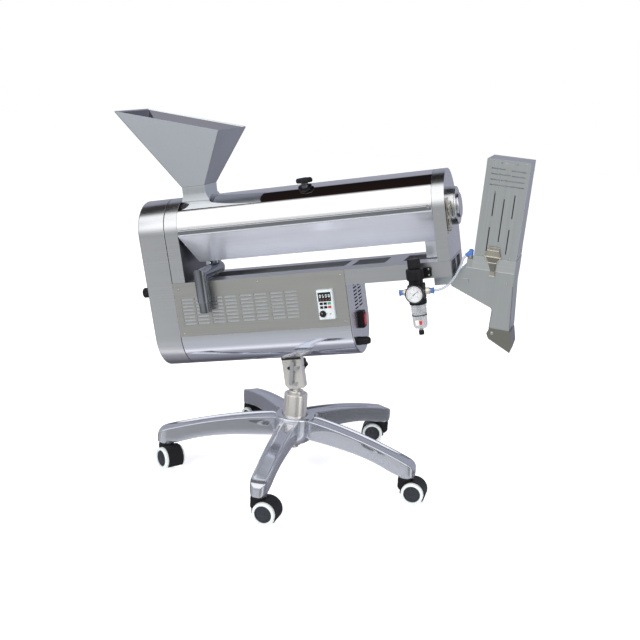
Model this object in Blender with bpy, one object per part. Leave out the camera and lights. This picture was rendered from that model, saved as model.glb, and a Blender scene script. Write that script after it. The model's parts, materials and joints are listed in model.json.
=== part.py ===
"""Capsule polisher with an air sorter, on a five-arm castor base.

Metres, +Z up.  The column stands on the base; everything above the tilt
pivot is drawn in the body frame, whose first axis (u) runs along the
polisher, second (v) runs away from the front and third (w) runs up.
The sorter hangs upright on the end of the body and has its own frame
with axes p (width), q (depth) and r (height).
"""

from math import asin, cos, pi, radians, sin

import bmesh
import bpy
from mathutils import Vector

for leftover in list(bpy.data.objects):
    bpy.data.objects.remove(leftover)

# ---------------------------------------------------------------- driving sizes

GAP = 0.0003                    # clearance between neighbouring pieces
SHEET = 0.002                   # folded steel sheet
COLUMN_X = -0.030               # the column axis, set so that the whole is centred
COLUMN_Y = 0.027

# base
ARM_ANGLES = (0, 72, -72, 144, -144)
BASE_TURN = 3.97                # first arm, from -Y towards +X
ARM_REACH = 0.335
ARM_HALF_WIDTH = 0.0215
SOCKET_BOTTOM = 0.0632
HUB_TOP = 0.1375
HUB_BOTTOM = 0.0775
HUB_RADIUS = 0.0525
CASTER_TURNS = (-2, 1, -35, 189, -36)
CASTER_TRAIL = 0.0225
WHEEL_RADIUS = 0.0285
STEM_RADIUS = 0.0055

# column and tilt joint
POST_RADIUS = 0.0205
POST_CORE = 0.014
POST_TOP = 0.2160
SLEEVE_RADIUS = 0.0308
SLEEVE_TOP = 0.2080
PIVOT_X = 0.0005
PIVOT_HEIGHT = 0.2370
CLAMP_RISE = 0.0437             # clamp bolt above pivot bolt
BOLT_RADIUS = 0.004
TONGUE_HALF_WIDTH = 0.0065
TONGUE_HALF_DEPTH = 0.0090
BRACKET_HALF_DEPTH = 0.0125

# body frame
BODY_HEIGHT = 0.4805
BODY_TILT = 11.5945             # right end up, degrees
CASING_RADIUS = 0.087
LOW_CENTRE = -0.080             # centre of the round bottom
HIGH_CENTRE = 0.187             # centre of the round top, the brush axis
HEAD_LEFT = -0.390
HEAD_RIGHT = -0.3175
BAND_LEFT = -0.3155
BAND_RIGHT = -0.280
CASING_RIGHT = 0.1455
FRAME_BOTTOM = 0.0255
FRAME_TOP = 0.064
FRAME_RIGHT = 0.405
FRAME_HALF_WIDTH = 0.0853
POST_LEFT = 0.375               # left edge of the right-hand end head
RIM_TOP = 0.1975                # top of the trough rim
RIM_BOTTOM = 0.183
TROUGH_FLOOR = 0.1065
TROUGH_FLOOR_HALF = 0.030
SHAFT_RADIUS = 0.008
MOTOR_W = -0.050                # motor shaft height

# sorter frame
SORTER_X = 0.4850
SORTER_Z = 0.6363
SORTER_YAW = -1.3
SORTER_LEAN = 2.1
COLUMN_HALF_WIDTH = 0.0494
SORTER_FRONT = -0.060
SORTER_BACK = 0.0506
COLUMN_HEIGHT = 0.2287

# ---------------------------------------------------------------- materials


def material(name, colour, roughness, metallic=0.0):
    made = bpy.data.materials.new(name)
    made.use_nodes = True
    shader = made.node_tree.nodes["Principled BSDF"]
    shader.inputs["Base Color"].default_value = (*colour, 1.0)
    shader.inputs["Roughness"].default_value = roughness
    shader.inputs["Metallic"].default_value = metallic
    made.diffuse_color = (*colour, 1.0)
    return made


CHROME = material("chrome", (0.80, 0.82, 0.86), 0.06, 1.0)
MIRROR_STEEL = material("mirror_steel", (0.72, 0.72, 0.74), 0.12, 1.0)
SATIN_STEEL = material("satin_steel", (0.55, 0.56, 0.55), 0.38, 1.0)
PANEL_STEEL = material("panel_steel", (0.42, 0.42, 0.38), 0.45, 0.8)
DARK_STEEL = material("dark_steel", (0.18, 0.18, 0.19), 0.35, 1.0)
BLACK_PLASTIC = material("black_plastic", (0.02, 0.02, 0.022), 0.45)
WHEEL_RUBBER = material("wheel_rubber", (0.62, 0.66, 0.65), 0.55)
BELT_RUBBER = material("belt_rubber", (0.03, 0.03, 0.03), 0.75)
BRISTLE = material("bristle", (0.82, 0.80, 0.74), 0.80)
PALE_PLASTIC = material("pale_plastic", (0.72, 0.76, 0.78), 0.40)
GREEN_PLASTIC = material("green_plastic", (0.05, 0.45, 0.16), 0.40)
RED_PLASTIC = material("red_plastic", (0.62, 0.05, 0.06), 0.40)
BLUE_PLASTIC = material("blue_plastic", (0.10, 0.22, 0.62), 0.35)
CLEAR_PLASTIC = material("clear_plastic", (0.75, 0.78, 0.80), 0.15)
GAUGE_FACE = material("gauge_face", (0.85, 0.86, 0.86), 0.30)
OLIVE_STEEL = material("olive_steel", (0.24, 0.22, 0.17), 0.42, 0.8)
MOTOR_PAINT = material("motor_paint", (0.12, 0.18, 0.24), 0.50)

# ---------------------------------------------------------------- frames


def empty(name, parent=None, location=(0, 0, 0), rotation=(0, 0, 0)):
    made = bpy.data.objects.new(name, None)
    bpy.context.scene.collection.objects.link(made)
    made.parent = parent
    made.location = location
    made.rotation_euler = [radians(angle) for angle in rotation]
    return made


BASE = empty("base_frame", location=(COLUMN_X, COLUMN_Y, 0))
BODY = empty("body_frame", BASE, (0, 0, BODY_HEIGHT), (0, -BODY_TILT, 0))
SORTER = empty("sorter_frame", BASE, (SORTER_X, 0, SORTER_Z), (0, SORTER_LEAN, SORTER_YAW))

# ---------------------------------------------------------------- shape tools

AXES = {"x": (1, 2, 0), "y": (0, 2, 1), "z": (0, 1, 2)}


def spot(axis, across, along):
    """The point whose two cross coordinates are ACROSS and whose AXIS coordinate is ALONG."""
    first, second, third = AXES[axis]
    point = [0.0, 0.0, 0.0]
    point[first] = across[0]
    point[second] = across[1]
    point[third] = along
    return point


def arc(centre, radius, start, end, steps):
    """Points on an arc in a cross plane; angles in degrees from the first axis."""
    turns = [radians(start + (end - start) * i / steps) for i in range(steps + 1)]
    return [(centre[0] + radius * cos(a), centre[1] + radius * sin(a)) for a in turns]


def circle(centre, radius, sides):
    return arc(centre, radius, 0, 360, sides)[:-1]


def rectangle(low, high):
    return [(low[0], low[1]), (high[0], low[1]), (high[0], high[1]), (low[0], high[1])]


def finished(shape):
    bmesh.ops.remove_doubles(shape, verts=shape.verts, dist=1e-7)
    bmesh.ops.recalc_face_normals(shape, faces=shape.faces)
    return shape


def loft(rings, cyclic=False):
    """Skins closed rings of equal length, capping the ends unless the rings close up."""
    shape = bmesh.new()
    rows = [[shape.verts.new(point) for point in ring] for ring in rings]
    pairs = list(zip(rows, rows[1:]))
    if cyclic:
        pairs.append((rows[-1], rows[0]))
    else:
        shape.faces.new(rows[0][::-1])
        shape.faces.new(rows[-1])
    for low, high in pairs:
        for i in range(len(low)):
            j = (i + 1) % len(low)
            shape.faces.new((low[i], low[j], high[j], high[i]))
    return finished(shape)


def prism(axis, outline, start, end):
    return loft([[spot(axis, point, along) for point in outline] for along in (start, end)])


def box(low, high):
    return prism("z", rectangle(low, high), low[2], high[2])


def lathe(axis, centre, profile, sides=24, tube=False):
    """Turns a profile of (radius, along) points; a TUBE profile is a closed loop off the axis."""
    rings = [
        [spot(axis, point, along) for point in circle(centre, max(radius, 1e-5), sides)]
        for radius, along in profile
    ]
    return loft(rings, cyclic=tube)


def temporary(shape):
    mesh = bpy.data.meshes.new("temporary")
    shape.to_mesh(mesh)
    shape.free()
    made = bpy.data.objects.new("temporary", mesh)
    bpy.context.scene.collection.objects.link(made)
    return made


def combined(first, second, operation):
    """First and second joined or cut by the exact Boolean, as a new shape."""
    target = temporary(first)
    tool = temporary(second)
    modifier = target.modifiers.new("combine", "BOOLEAN")
    modifier.operation = operation
    modifier.object = tool
    result = bmesh.new()
    result.from_object(target, bpy.context.evaluated_depsgraph_get())
    for helper in (target, tool):
        bpy.data.objects.remove(helper)
    bmesh.ops.remove_doubles(result, verts=result.verts, dist=1e-6)
    return result


def joined(first, *others):
    for other in others:
        first = combined(first, other, "UNION")
    return first


def cut(first, *tools):
    for tool in tools:
        first = combined(first, tool, "DIFFERENCE")
    return first


def together(shapes):
    """Separate shapes that don't touch, as one tool."""
    shapes = list(shapes)
    merged = shapes[0]
    for shape in shapes[1:]:
        mesh = bpy.data.meshes.new("temporary")
        shape.to_mesh(mesh)
        shape.free()
        merged.from_mesh(mesh)
        bpy.data.meshes.remove(mesh)
    return merged


def placed(name, mesh, skin, parent, origin=(0, 0, 0), turn=0.0):
    made = bpy.data.objects.new(name, mesh)
    bpy.context.scene.collection.objects.link(made)
    made.parent = parent
    made.location = origin
    made.rotation_euler = (0, 0, radians(turn))
    if not mesh.materials:
        mesh.materials.append(skin)
    return made


def part(name, shape, skin, parent, origin=(0, 0, 0), crease=32):
    """Makes the named object; the shape is drawn in the parent's frame and its origin moved."""
    bmesh.ops.translate(shape, verts=shape.verts, vec=-Vector(origin))
    mesh = bpy.data.meshes.new(name)
    for face in shape.faces:
        face.smooth = True
    shape.to_mesh(mesh)
    shape.free()
    mesh.set_sharp_from_angle(angle=radians(crease))
    return placed(name, mesh, skin, parent, origin)


# ---------------------------------------------------------------- star base


def arm_top(reach):
    return 0.1507 - 0.40 * reach**2


def arm_bottom(reach):
    return max(SOCKET_BOTTOM + 0.0015, 0.0960 - 3.3 * reach**4)


def arm_ring(reach, half, drop, channel, heading):
    """One cross-section of an arm: two rounded rims with a channel between them."""
    top = arm_top(reach) - drop
    low = min(arm_bottom(reach), top - 0.004)
    rim = 0.32 * half
    side = [
        (half - rim, top - channel),
        (half - 0.75 * rim, top - 0.0006),
        (half - 0.30 * rim, top),
        (half, top - 0.005 if drop < 0.004 else top - 0.002),
        (0.93 * half, low + 0.003 if drop < 0.004 else low + 0.001),
        (0.75 * half, low),
    ]
    outline = side + [(-across, height) for across, height in reversed(side)]
    ahead = Vector((sin(heading), -cos(heading), 0))
    aside = Vector((cos(heading), sin(heading), 0))
    return [ahead * reach + aside * across + Vector((0, 0, height)) for across, height in outline]


def arm(heading):
    stations = [(0.044 + 0.0485 * i, ARM_HALF_WIDTH + 0.005 * (1 - i / 6) ** 2, 0.0, 0.006)
                for i in range(7)]
    nose = [(ARM_REACH + 0.012, 0.90 * ARM_HALF_WIDTH, 0.002, 0.0025),
            (ARM_REACH + 0.020, 0.60 * ARM_HALF_WIDTH, 0.006, 0.0),
            (ARM_REACH + 0.0235, 0.25 * ARM_HALF_WIDTH, 0.011, 0.0)]
    return loft([arm_ring(*station, heading) for station in stations + nose])


def socket_centre(angle):
    heading = radians(BASE_TURN + angle)
    return (ARM_REACH * sin(heading), -ARM_REACH * cos(heading))


def make_star_base():
    crown = arm_top(0.044) + 0.0005
    hub = lathe("z", (0, 0), [(0.036, HUB_BOTTOM), (0.046, HUB_BOTTOM + 0.006), (HUB_RADIUS, 0.105),
                              (HUB_RADIUS, crown - 0.005), (HUB_RADIUS - 0.004, crown), (0.030, crown)], 25)
    arms = [arm(radians(BASE_TURN + angle)) for angle in ARM_ANGLES]
    bosses = [lathe("z", socket_centre(angle), [(0.0195, SOCKET_BOTTOM), (0.0205, SOCKET_BOTTOM + 0.002),
                                                (0.0205, 0.0870)], 14) for angle in ARM_ANGLES]
    stems = together(lathe("z", socket_centre(angle), [(STEM_RADIUS + GAP, SOCKET_BOTTOM - 0.01),
                                                       (STEM_RADIUS + GAP, 0.0860)], 10)
                     for angle in ARM_ANGLES)
    bore = lathe("z", (0, 0), [(POST_CORE + GAP, 0.05), (POST_CORE + GAP, HUB_TOP),
                               (0.0335, HUB_TOP), (0.0335, 0.20)], 20)
    part("star_base", cut(joined(hub, *arms, *bosses), stems, bore), CHROME, BASE, crease=40)


# ---------------------------------------------------------------- castors


def hood_shape():
    """Drawn with the stem on the Z axis and the axle at +X by the trail."""
    axle = (CASTER_TRAIL, WHEEL_RADIUS)
    outer = WHEEL_RADIUS + 0.0032
    inner = WHEEL_RADIUS + 0.0012
    rim = arc(axle, outer, -35, 190, 10) + arc(axle, inner, 190, -35, 10)
    fender = prism("y", rim, -0.0215, 0.0215)
    web = prism("y", arc(axle, WHEEL_RADIUS + 0.0024, -35, 200, 6) + [(0.002, 0.010), (0.036, 0.008)],
                -0.0050, 0.0050)
    neck = lathe("z", (0, 0), [(0.0150, 0.0280), (0.0195, 0.0330), (0.0195, SOCKET_BOTTOM - 0.003),
                               (0.0180, SOCKET_BOTTOM - GAP), (STEM_RADIUS, SOCKET_BOTTOM - GAP),
                               (STEM_RADIUS, 0.0845)], 12)
    room = together(prism("y", circle(axle, inner, 16), start, start + 0.0250)
                    for start in (-0.0304, 0.0054))
    bore = prism("y", circle(axle, BOLT_RADIUS + GAP, 10), -0.02, 0.02)
    return cut(joined(fender, web, cut(neck, room)), bore)


def wheels_shape():
    """Two wheels on one axle; the axle runs along Y through the origin."""
    half = [(0.0190, 0.0275), (0.0210, 0.0290), (0.0262, 0.0290), (WHEEL_RADIUS, 0.0270),
            (WHEEL_RADIUS, 0.0068), (BOLT_RADIUS, 0.0062)]
    other = [(radius, -along) for radius, along in reversed(half)]
    return lathe("y", (0, 0), half + other, 18)


def make_casters():
    hood = None
    wheels = None
    for number, (angle, turn) in enumerate(zip(ARM_ANGLES, CASTER_TURNS), 1):
        x, y = socket_centre(angle)
        heading = radians(turn)
        axle = (x + CASTER_TRAIL * cos(heading), y + CASTER_TRAIL * sin(heading), WHEEL_RADIUS)
        if hood is None:
            first = part(f"caster_hood_{number}", hood_shape(), BLACK_PLASTIC, BASE)
            hood = first.data
            first.location = (x, y, 0)
            first.rotation_euler.z = heading
            second = part(f"caster_wheels_{number}", wheels_shape(), WHEEL_RUBBER, BASE)
            wheels = second.data
            second.location = axle
            second.rotation_euler.z = heading
            continue
        placed(f"caster_hood_{number}", hood, BLACK_PLASTIC, BASE, (x, y, 0), turn)
        placed(f"caster_wheels_{number}", wheels, WHEEL_RUBBER, BASE, axle, turn)


# ---------------------------------------------------------------- column and tilt joint


def make_column():
    sleeve = [(POST_RADIUS + GAP, HUB_TOP + GAP), (0.0322, HUB_TOP + GAP),
              (0.0322, HUB_TOP + 0.012), (SLEEVE_RADIUS, HUB_TOP + 0.015),
              (SLEEVE_RADIUS, SLEEVE_TOP - 0.0020), (SLEEVE_RADIUS - 0.0020, SLEEVE_TOP),
              (POST_RADIUS + 0.0015, SLEEVE_TOP), (POST_RADIUS + GAP, SLEEVE_TOP - 0.0030)]
    part("column_sleeve", lathe("z", (0, 0), sleeve, 24, tube=True), SATIN_STEEL, BASE)

    foot = HUB_BOTTOM - 0.020
    profile = [(0.0105, foot), (POST_CORE, foot + 0.003), (POST_CORE, foot + 0.006),
               (0.0185, foot + 0.006), (0.0185, foot + 0.013), (POST_CORE, foot + 0.013),
               (POST_CORE, HUB_TOP + 2 * GAP), (POST_RADIUS, HUB_TOP + 2 * GAP),
               (POST_RADIUS, POST_TOP - 0.002), (POST_RADIUS - 0.002, POST_TOP)]
    tongue = box((-TONGUE_HALF_WIDTH, -TONGUE_HALF_DEPTH, POST_TOP - 0.010),
                 (TONGUE_HALF_WIDTH, TONGUE_HALF_DEPTH, PIVOT_HEIGHT + CLAMP_RISE + 0.0065))
    holes = together(prism("y", circle((PIVOT_X, PIVOT_HEIGHT + rise), BOLT_RADIUS + GAP, 12), -0.03, 0.03)
                     for rise in (0, CLAMP_RISE))
    part("column_post", cut(joined(lathe("z", (0, 0), profile, 20), tongue), holes), SATIN_STEEL, BASE)


def make_tilt_joint():
    """The pivot bolt, and above it the clamp bolt with its lever in front and its knob behind."""
    face = BRACKET_HALF_DEPTH + GAP
    pivot = joined(prism("y", circle((0, 0), BOLT_RADIUS, 12), -face - 0.002, face + 0.002),
                   prism("y", circle((0, 0), 0.0062, 6), -face - 0.0042, -face),
                   prism("y", circle((0, 0), 0.0062, 6), face, face + 0.0060))
    origin = (PIVOT_X, 0, PIVOT_HEIGHT)
    bmesh.ops.translate(pivot, verts=pivot.verts, vec=origin)
    part("pivot_bolt", pivot, SATIN_STEEL, BASE, origin)

    bar = arc((-0.0100, 0.0145), 0.0048, 0, 180, 8) + arc((-0.0100, -0.0430), 0.0046, 180, 360, 8)
    lever = joined(prism("y", bar, -face - 0.0105, -face - 0.0050),
                   prism("y", circle((0, 0), 0.0072, 16), -face - 0.0085, -face),
                   prism("y", rectangle((-0.0100, -0.0050), (0, 0.0050)), -face - 0.0080, -face - 0.0053),
                   prism("y", circle((0, 0), 0.0055, 6), -face - 0.0100, -face - 0.0080),
                   prism("y", circle((0, 0), BOLT_RADIUS, 12), -face - 0.002, face + 0.0035))
    clamp = (PIVOT_X, 0, PIVOT_HEIGHT + CLAMP_RISE)
    bmesh.ops.translate(lever, verts=lever.verts, vec=clamp)
    part("tilt_clamp_lever", lever, SATIN_STEEL, BASE, clamp)

    rings = []
    for radius, along in ((0.85, face + 0.0040), (1.0, face + 0.0065), (1.0, face + 0.0185),
                          (0.86, face + 0.0215)):
        lobes = [radius * (0.0175 + 0.0022 * cos(pi * i / 2)) for i in range(24)]
        rings.append([(clamp[0] + lobe * cos(pi * i / 12), along, clamp[2] + lobe * sin(pi * i / 12))
                      for i, lobe in enumerate(lobes)])
    part("tilt_knob", loft(rings), BLACK_PLASTIC, BASE, clamp)


def body_point(x, z):
    """World X and Z, measured from the column axis, as u and w in the body frame."""
    tilt = radians(BODY_TILT)
    rise = z - BODY_HEIGHT
    return (x * cos(tilt) + rise * sin(tilt), -x * sin(tilt) + rise * cos(tilt))


def casing_round(clearance, low, high):
    """The round bottom of the casing with a clearance, as a cutting tool along u."""
    radius = CASING_RADIUS + clearance
    return prism("x", circle((0, LOW_CENTRE), radius, 56), low, high)


def round_slot(centre, reach, half, first, last):
    """A slot that follows an arc of radius REACH from angle FIRST to LAST, with round ends."""
    def end(angle):
        return (centre[0] + reach * cos(radians(angle)), centre[1] + reach * sin(radians(angle)))

    return (arc(centre, reach + half, first, last, 6)
            + arc(end(last), half, last, last + 180, 6)[1:-1]
            + arc(centre, reach - half, last, first, 6)
            + arc(end(first), half, first + 180, first + 360, 6)[1:-1])


def make_tilt_bracket():
    pivot = body_point(PIVOT_X, PIVOT_HEIGHT)
    middle, half, wall = -0.0515, 0.0260, 0.0025
    depth = BRACKET_HALF_DEPTH
    bottom = pivot[1] - 0.0130
    outline = [(middle - half + 0.008, bottom), (middle + half - 0.002, bottom),
               (middle + half, bottom + 0.002), (middle + half, -0.150),
               (middle - half, -0.150), (middle - half, bottom + 0.010)]
    shell = prism("y", outline, -depth, depth)
    room = box((middle - half + wall, -depth + wall, bottom - 0.01),
               (middle + half - wall, depth - wall, -0.14))
    clamp_slot = round_slot(pivot, CLAMP_RISE, BOLT_RADIUS + 0.0007, 74.6, 105.8)
    slots = together([prism("y", clamp_slot, -0.03, 0.03),
                      prism("y", circle(pivot, BOLT_RADIUS + GAP, 12), -0.03, 0.03)])
    shape = cut(shell, room, slots, casing_round(GAP, middle - 0.05, middle + 0.05))
    part("tilt_bracket", shape, SATIN_STEEL, BODY)


# ---------------------------------------------------------------- lower casing


def round_bottom(inset, top):
    """Outline in the v-w plane: a round bottom with straight sides up to TOP."""
    radius = CASING_RADIUS - inset
    return arc((0, LOW_CENTRE), radius, 180, 360, 28) + [(radius, top), (-radius, top)]


def round_top(inset, bottom):
    radius = CASING_RADIUS - inset
    return arc((0, HIGH_CENTRE), radius, 0, 180, 28) + [(-radius, bottom), (radius, bottom)]


PANEL_BOTTOM = -0.0765
SHELL_TOP = FRAME_BOTTOM - GAP


def make_lower_shell():
    shell = prism("x", round_bottom(0, SHELL_TOP), BAND_LEFT, CASING_RIGHT - 0.0025)
    room = prism("x", round_bottom(SHEET, SHELL_TOP + 0.01), BAND_LEFT + SHEET, CASING_RIGHT)
    front = box((BAND_LEFT - 0.01, -0.10, PANEL_BOTTOM - GAP),
                (CASING_RIGHT, -FRAME_HALF_WIDTH, SHELL_TOP + 0.01))
    shaft = lathe("x", (0, MOTOR_W), [(0.0105, BAND_LEFT - 0.01), (0.0105, BAND_LEFT + 0.01)], 16)
    part("lower_shell", cut(shell, room, front, shaft), MIRROR_STEEL, BODY)


LOUVRE_LENGTH = 0.0330
LOUVRE_HEIGHT = 0.0030
LOUVRE_PITCH = 0.0091


def make_louvre_panel():
    low = (-0.3170, -CASING_RADIUS, PANEL_BOTTOM)
    high = (CASING_RIGHT - 0.0025, -FRAME_HALF_WIDTH - GAP, FRAME_TOP)
    slots = []
    for pair in range(4):
        for side in range(2):
            left = -0.3000 + 0.0813 * pair + 0.0383 * side
            for row in range(8):
                bottom = -0.0455 + LOUVRE_PITCH * row
                slots.append(box((left, -0.10, bottom),
                                 (left + LOUVRE_LENGTH, -0.08, bottom + LOUVRE_HEIGHT)))
    part("louvre_panel", cut(box(low, high), together(slots)), PANEL_STEEL, BODY)


def make_end_plate():
    plate = prism("x", round_bottom(0.0023, SHELL_TOP), CASING_RIGHT - 0.0020, CASING_RIGHT)
    slots = [box((0.1, left, bottom), (0.2, left + 0.030, bottom + 0.0035))
             for left in (-0.0325, 0.0085) for bottom in [-0.0480 + 0.0088 * row for row in range(8)]]
    part("end_plate", cut(plate, together(slots)), MIRROR_STEEL, BODY)


def make_frame_rails():
    left = -0.3125
    half = FRAME_HALF_WIDTH
    shell = box((left, -half, FRAME_BOTTOM), (FRAME_RIGHT, half, FRAME_TOP - GAP))
    room = box((left + SHEET, -half + SHEET, FRAME_BOTTOM + SHEET),
               (FRAME_RIGHT - SHEET, half - SHEET, FRAME_TOP - SHEET))
    windows = together(box((start, -0.032, FRAME_TOP - 0.01), (end, 0.049, FRAME_TOP + 0.01))
                       for start, end in ((-0.270, 0.130), (0.1495, 0.2337), (0.280, 0.3735)))
    mouths = together(box((FRAME_RIGHT - 0.01, low, FRAME_BOTTOM + 0.003),
                          (FRAME_RIGHT + 0.01, high, FRAME_TOP - 0.004))
                      for low, high in ((-0.070, -0.015), (0.0, 0.050)))
    part("frame_rails", cut(shell, room, windows, mouths), SATIN_STEEL, BODY)


# ---------------------------------------------------------------- end heads


def racetrack(inset):
    radius = CASING_RADIUS - inset
    return arc((0, HIGH_CENTRE), radius, 0, 180, 22) + arc((0, LOW_CENTRE), radius, 180, 360, 22)


def make_head_housing():
    rings = [[spot("x", point, along) for point in racetrack(inset)]
             for inset, along in ((0.0030, HEAD_LEFT), (0.0008, HEAD_LEFT + 0.0010),
                                  (0.0, HEAD_LEFT + 0.0035), (0.0, HEAD_RIGHT),
                                  (SHEET, HEAD_RIGHT), (SHEET + 0.0010, HEAD_LEFT + 0.0045),
                                  (0.0060, HEAD_LEFT + SHEET))]
    part("head_housing", loft(rings), MIRROR_STEEL, BODY)


def make_head_knob():
    centre = (-0.062, 0.0425)
    left, right = -0.4125, HEAD_LEFT - GAP
    rings = []
    for radius, along in ((0.0060, right), (0.0060, right - 0.003), (0.0125, right - 0.0035),
                          (0.0125, left + 0.0015), (0.0110, left)):
        ribs = [radius + (0.0007 * cos(pi * i) if radius > 0.01 else 0) for i in range(28)]
        rings.append([(along, centre[0] + rib * cos(2 * pi * i / 28), centre[1] + rib * sin(2 * pi * i / 28))
                      for i, rib in enumerate(ribs)])
    part("head_knob", loft(rings), BLACK_PLASTIC, BODY, (left, *centre))


def shaft_hole(low, high):
    return lathe("x", (0, HIGH_CENTRE), [(SHAFT_RADIUS + GAP, low), (SHAFT_RADIUS + GAP, high)], 20)


def make_bulkhead():
    shell = prism("x", round_top(0, FRAME_TOP + GAP), BAND_LEFT, BAND_RIGHT)
    room = prism("x", round_top(SHEET, FRAME_TOP + SHEET), BAND_LEFT - 0.01, BAND_RIGHT - SHEET)
    part("bulkhead", cut(shell, room, shaft_hole(BAND_RIGHT - 0.01, BAND_RIGHT + 0.01)),
         MIRROR_STEEL, BODY)


COLLAR_W = 0.183
COLLAR_END = 0.4190
LATCH_HINGE_U = 0.4098
LATCH_HINGE_W = 0.1370


def make_right_head():
    shell = prism("x", round_top(0, FRAME_TOP + GAP), POST_LEFT, FRAME_RIGHT)
    room = prism("x", round_top(SHEET, FRAME_TOP - 0.01), POST_LEFT - 0.01, FRAME_RIGHT - SHEET)
    collar = lathe("x", (0, COLLAR_W), [(0.046, FRAME_RIGHT - 0.001), (0.046, COLLAR_END),
                                        (0.041, COLLAR_END), (0.041, FRAME_RIGHT - 0.001)], 28, tube=True)
    foot = box((FRAME_RIGHT - 0.001, -0.0790, 0.1260), (LATCH_HINGE_U + 0.002, -0.0550, 0.1325))
    shape = joined(cut(shell, room), collar, foot)
    part("right_head", cut(shape, shaft_hole(FRAME_RIGHT - 0.01, FRAME_RIGHT + 0.01)), MIRROR_STEEL, BODY)


def make_end_cap():
    profile = [(0.0400, FRAME_RIGHT + 0.006), (0.0400, COLLAR_END + GAP), (0.0455, COLLAR_END + GAP),
               (0.0455, 0.4225), (0.0300, 0.4235), (0.0300, 0.4275), (0.0285, 0.4285)]
    part("end_cap", lathe("x", (0, COLLAR_W), profile, 28), MIRROR_STEEL, BODY, (COLLAR_END, 0, COLLAR_W))


def make_cover_latch():
    """The lever hangs on the end face beside the round collar and hinges at its lower end."""
    hinge = (LATCH_HINGE_U, LATCH_HINGE_W)
    back = FRAME_RIGHT + 0.0008
    reach = LATCH_HINGE_U - back
    side = (arc(hinge, reach, 180, 360, 8)
            + [(0.4150, 0.1480), (0.4150, 0.1900), (0.4105, 0.2030), (0.4120, 0.2080), (0.4090, 0.2095),
               (back, 0.2050)])
    part("cover_latch", prism("y", side, -0.0780, -0.0560), SATIN_STEEL, BODY,
         (LATCH_HINGE_U, -0.067, LATCH_HINGE_W))


# ---------------------------------------------------------------- cover and hopper

COVER_LEFT = BAND_RIGHT + 0.0006
COVER_RIGHT = POST_LEFT - 0.0006
COVER_EDGE = RIM_TOP + 0.0010
HINGE_V = 0.0925
HINGE_W = 0.1985
HINGES = (-0.19, 0.10, 0.32)


def make_top_cover():
    lean = 180 / pi * asin((COVER_EDGE - HIGH_CENTRE) / CASING_RADIUS)
    outer = arc((0, HIGH_CENTRE), CASING_RADIUS, lean, 180 - lean, 32)
    inner = arc((0, HIGH_CENTRE), CASING_RADIUS - SHEET, 180 - lean, lean, 32)
    cover = prism("x", outer + inner, COVER_LEFT, COVER_RIGHT)
    mouth = box((-0.2670, -0.0320, 0.20), (-0.2110, 0.0320, 0.30))
    leaves = []
    for middle in HINGES:
        leaf = [(0.0858, 0.2000), (0.0900, 0.2000), (0.0925, 0.2020), (0.0925, 0.2045), (0.0850, 0.2060)]
        leaves.append(prism("x", leaf, middle - 0.018, middle + 0.018))
        leaves.append(prism("x", circle((HINGE_V, HINGE_W), 0.0040, 12), middle - 0.018, middle + 0.018))
    part("top_cover", cut(joined(cover, *leaves), mouth), MIRROR_STEEL, BODY,
         (COVER_LEFT, HINGE_V, HINGE_W))


def cover_round(clearance, low, high):
    radius = CASING_RADIUS + clearance
    return prism("x", circle((0, HIGH_CENTRE), radius, 64), low, high)


def make_cover_knob():
    """A fluted knob that stands upright on the front slope of the cover, on a thin curved foot."""
    middle = (0.056, -0.032)
    rings = []
    for radius, along in ((0.0085, 0.250), (0.0085, 0.2770), (0.0125, 0.2790), (0.0195, 0.2800),
                          (0.0205, 0.2840), (0.0195, 0.2890), (0.0150, 0.2915)):
        flutes = [radius * (1 + (0.05 * cos(2 * pi * i / 3) if along > 0.2795 else 0)) for i in range(24)]
        rings.append([(middle[0] + flute * cos(pi * i / 12), middle[1] + flute * sin(pi * i / 12), along)
                      for i, flute in enumerate(flutes)])
    disc = lathe("z", middle, [(0.0170, 0.240), (0.0170, 0.280)], 20)
    above = prism("x", rectangle((-0.12, 0.20), (0.12, 0.32)), 0.0, 0.1)
    beyond = cut(above, cover_round(0.0026, -0.01, 0.11))
    shape = cut(joined(loft(rings), cut(disc, beyond)), cover_round(GAP, -0.01, 0.11))
    part("cover_knob", shape, BLACK_PLASTIC, BODY, (*middle, 0.2680))


def hopper_ring(left, right, inset):
    """A four-cornered ring; LEFT and RIGHT are (u, w, half depth) of its two sides."""
    a = (left[0] + inset, left[1], left[2] - inset)
    b = (right[0] - inset, right[1], right[2] - inset)
    return [(a[0], -a[2], a[1]), (b[0], -b[2], b[1]), (b[0], b[2], b[1]), (a[0], a[2], a[1])]


def make_hopper():
    wall = 0.0015
    stations = [((-0.3934, 0.5126, 0.095), (-0.1235, 0.4327, 0.095), wall),
                ((-0.2720, 0.3030, 0.033), (-0.2060, 0.3030, 0.040), wall),
                ((-0.2720, 0.2800, 0.034), (-0.2060, 0.2800, 0.038), wall),
                ((-0.2760, 0.2660, 0.038), (-0.1980, 0.2660, 0.042), wall + 0.004),
                ((-0.2775, 0.2400, 0.042), (-0.1940, 0.2400, 0.046), wall + 0.006)]
    outer = [hopper_ring(left, right, 0) for left, right, _ in stations]
    inner = [hopper_ring(left, right, inset) for left, right, inset in stations]
    shape = loft(outer + inner[::-1], cyclic=True)
    part("hopper", cut(shape, cover_round(GAP, -0.30, -0.15)), SATIN_STEEL, BODY,
         (-0.239, HINGE_V, HINGE_W))


# ---------------------------------------------------------------- polishing chamber


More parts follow.
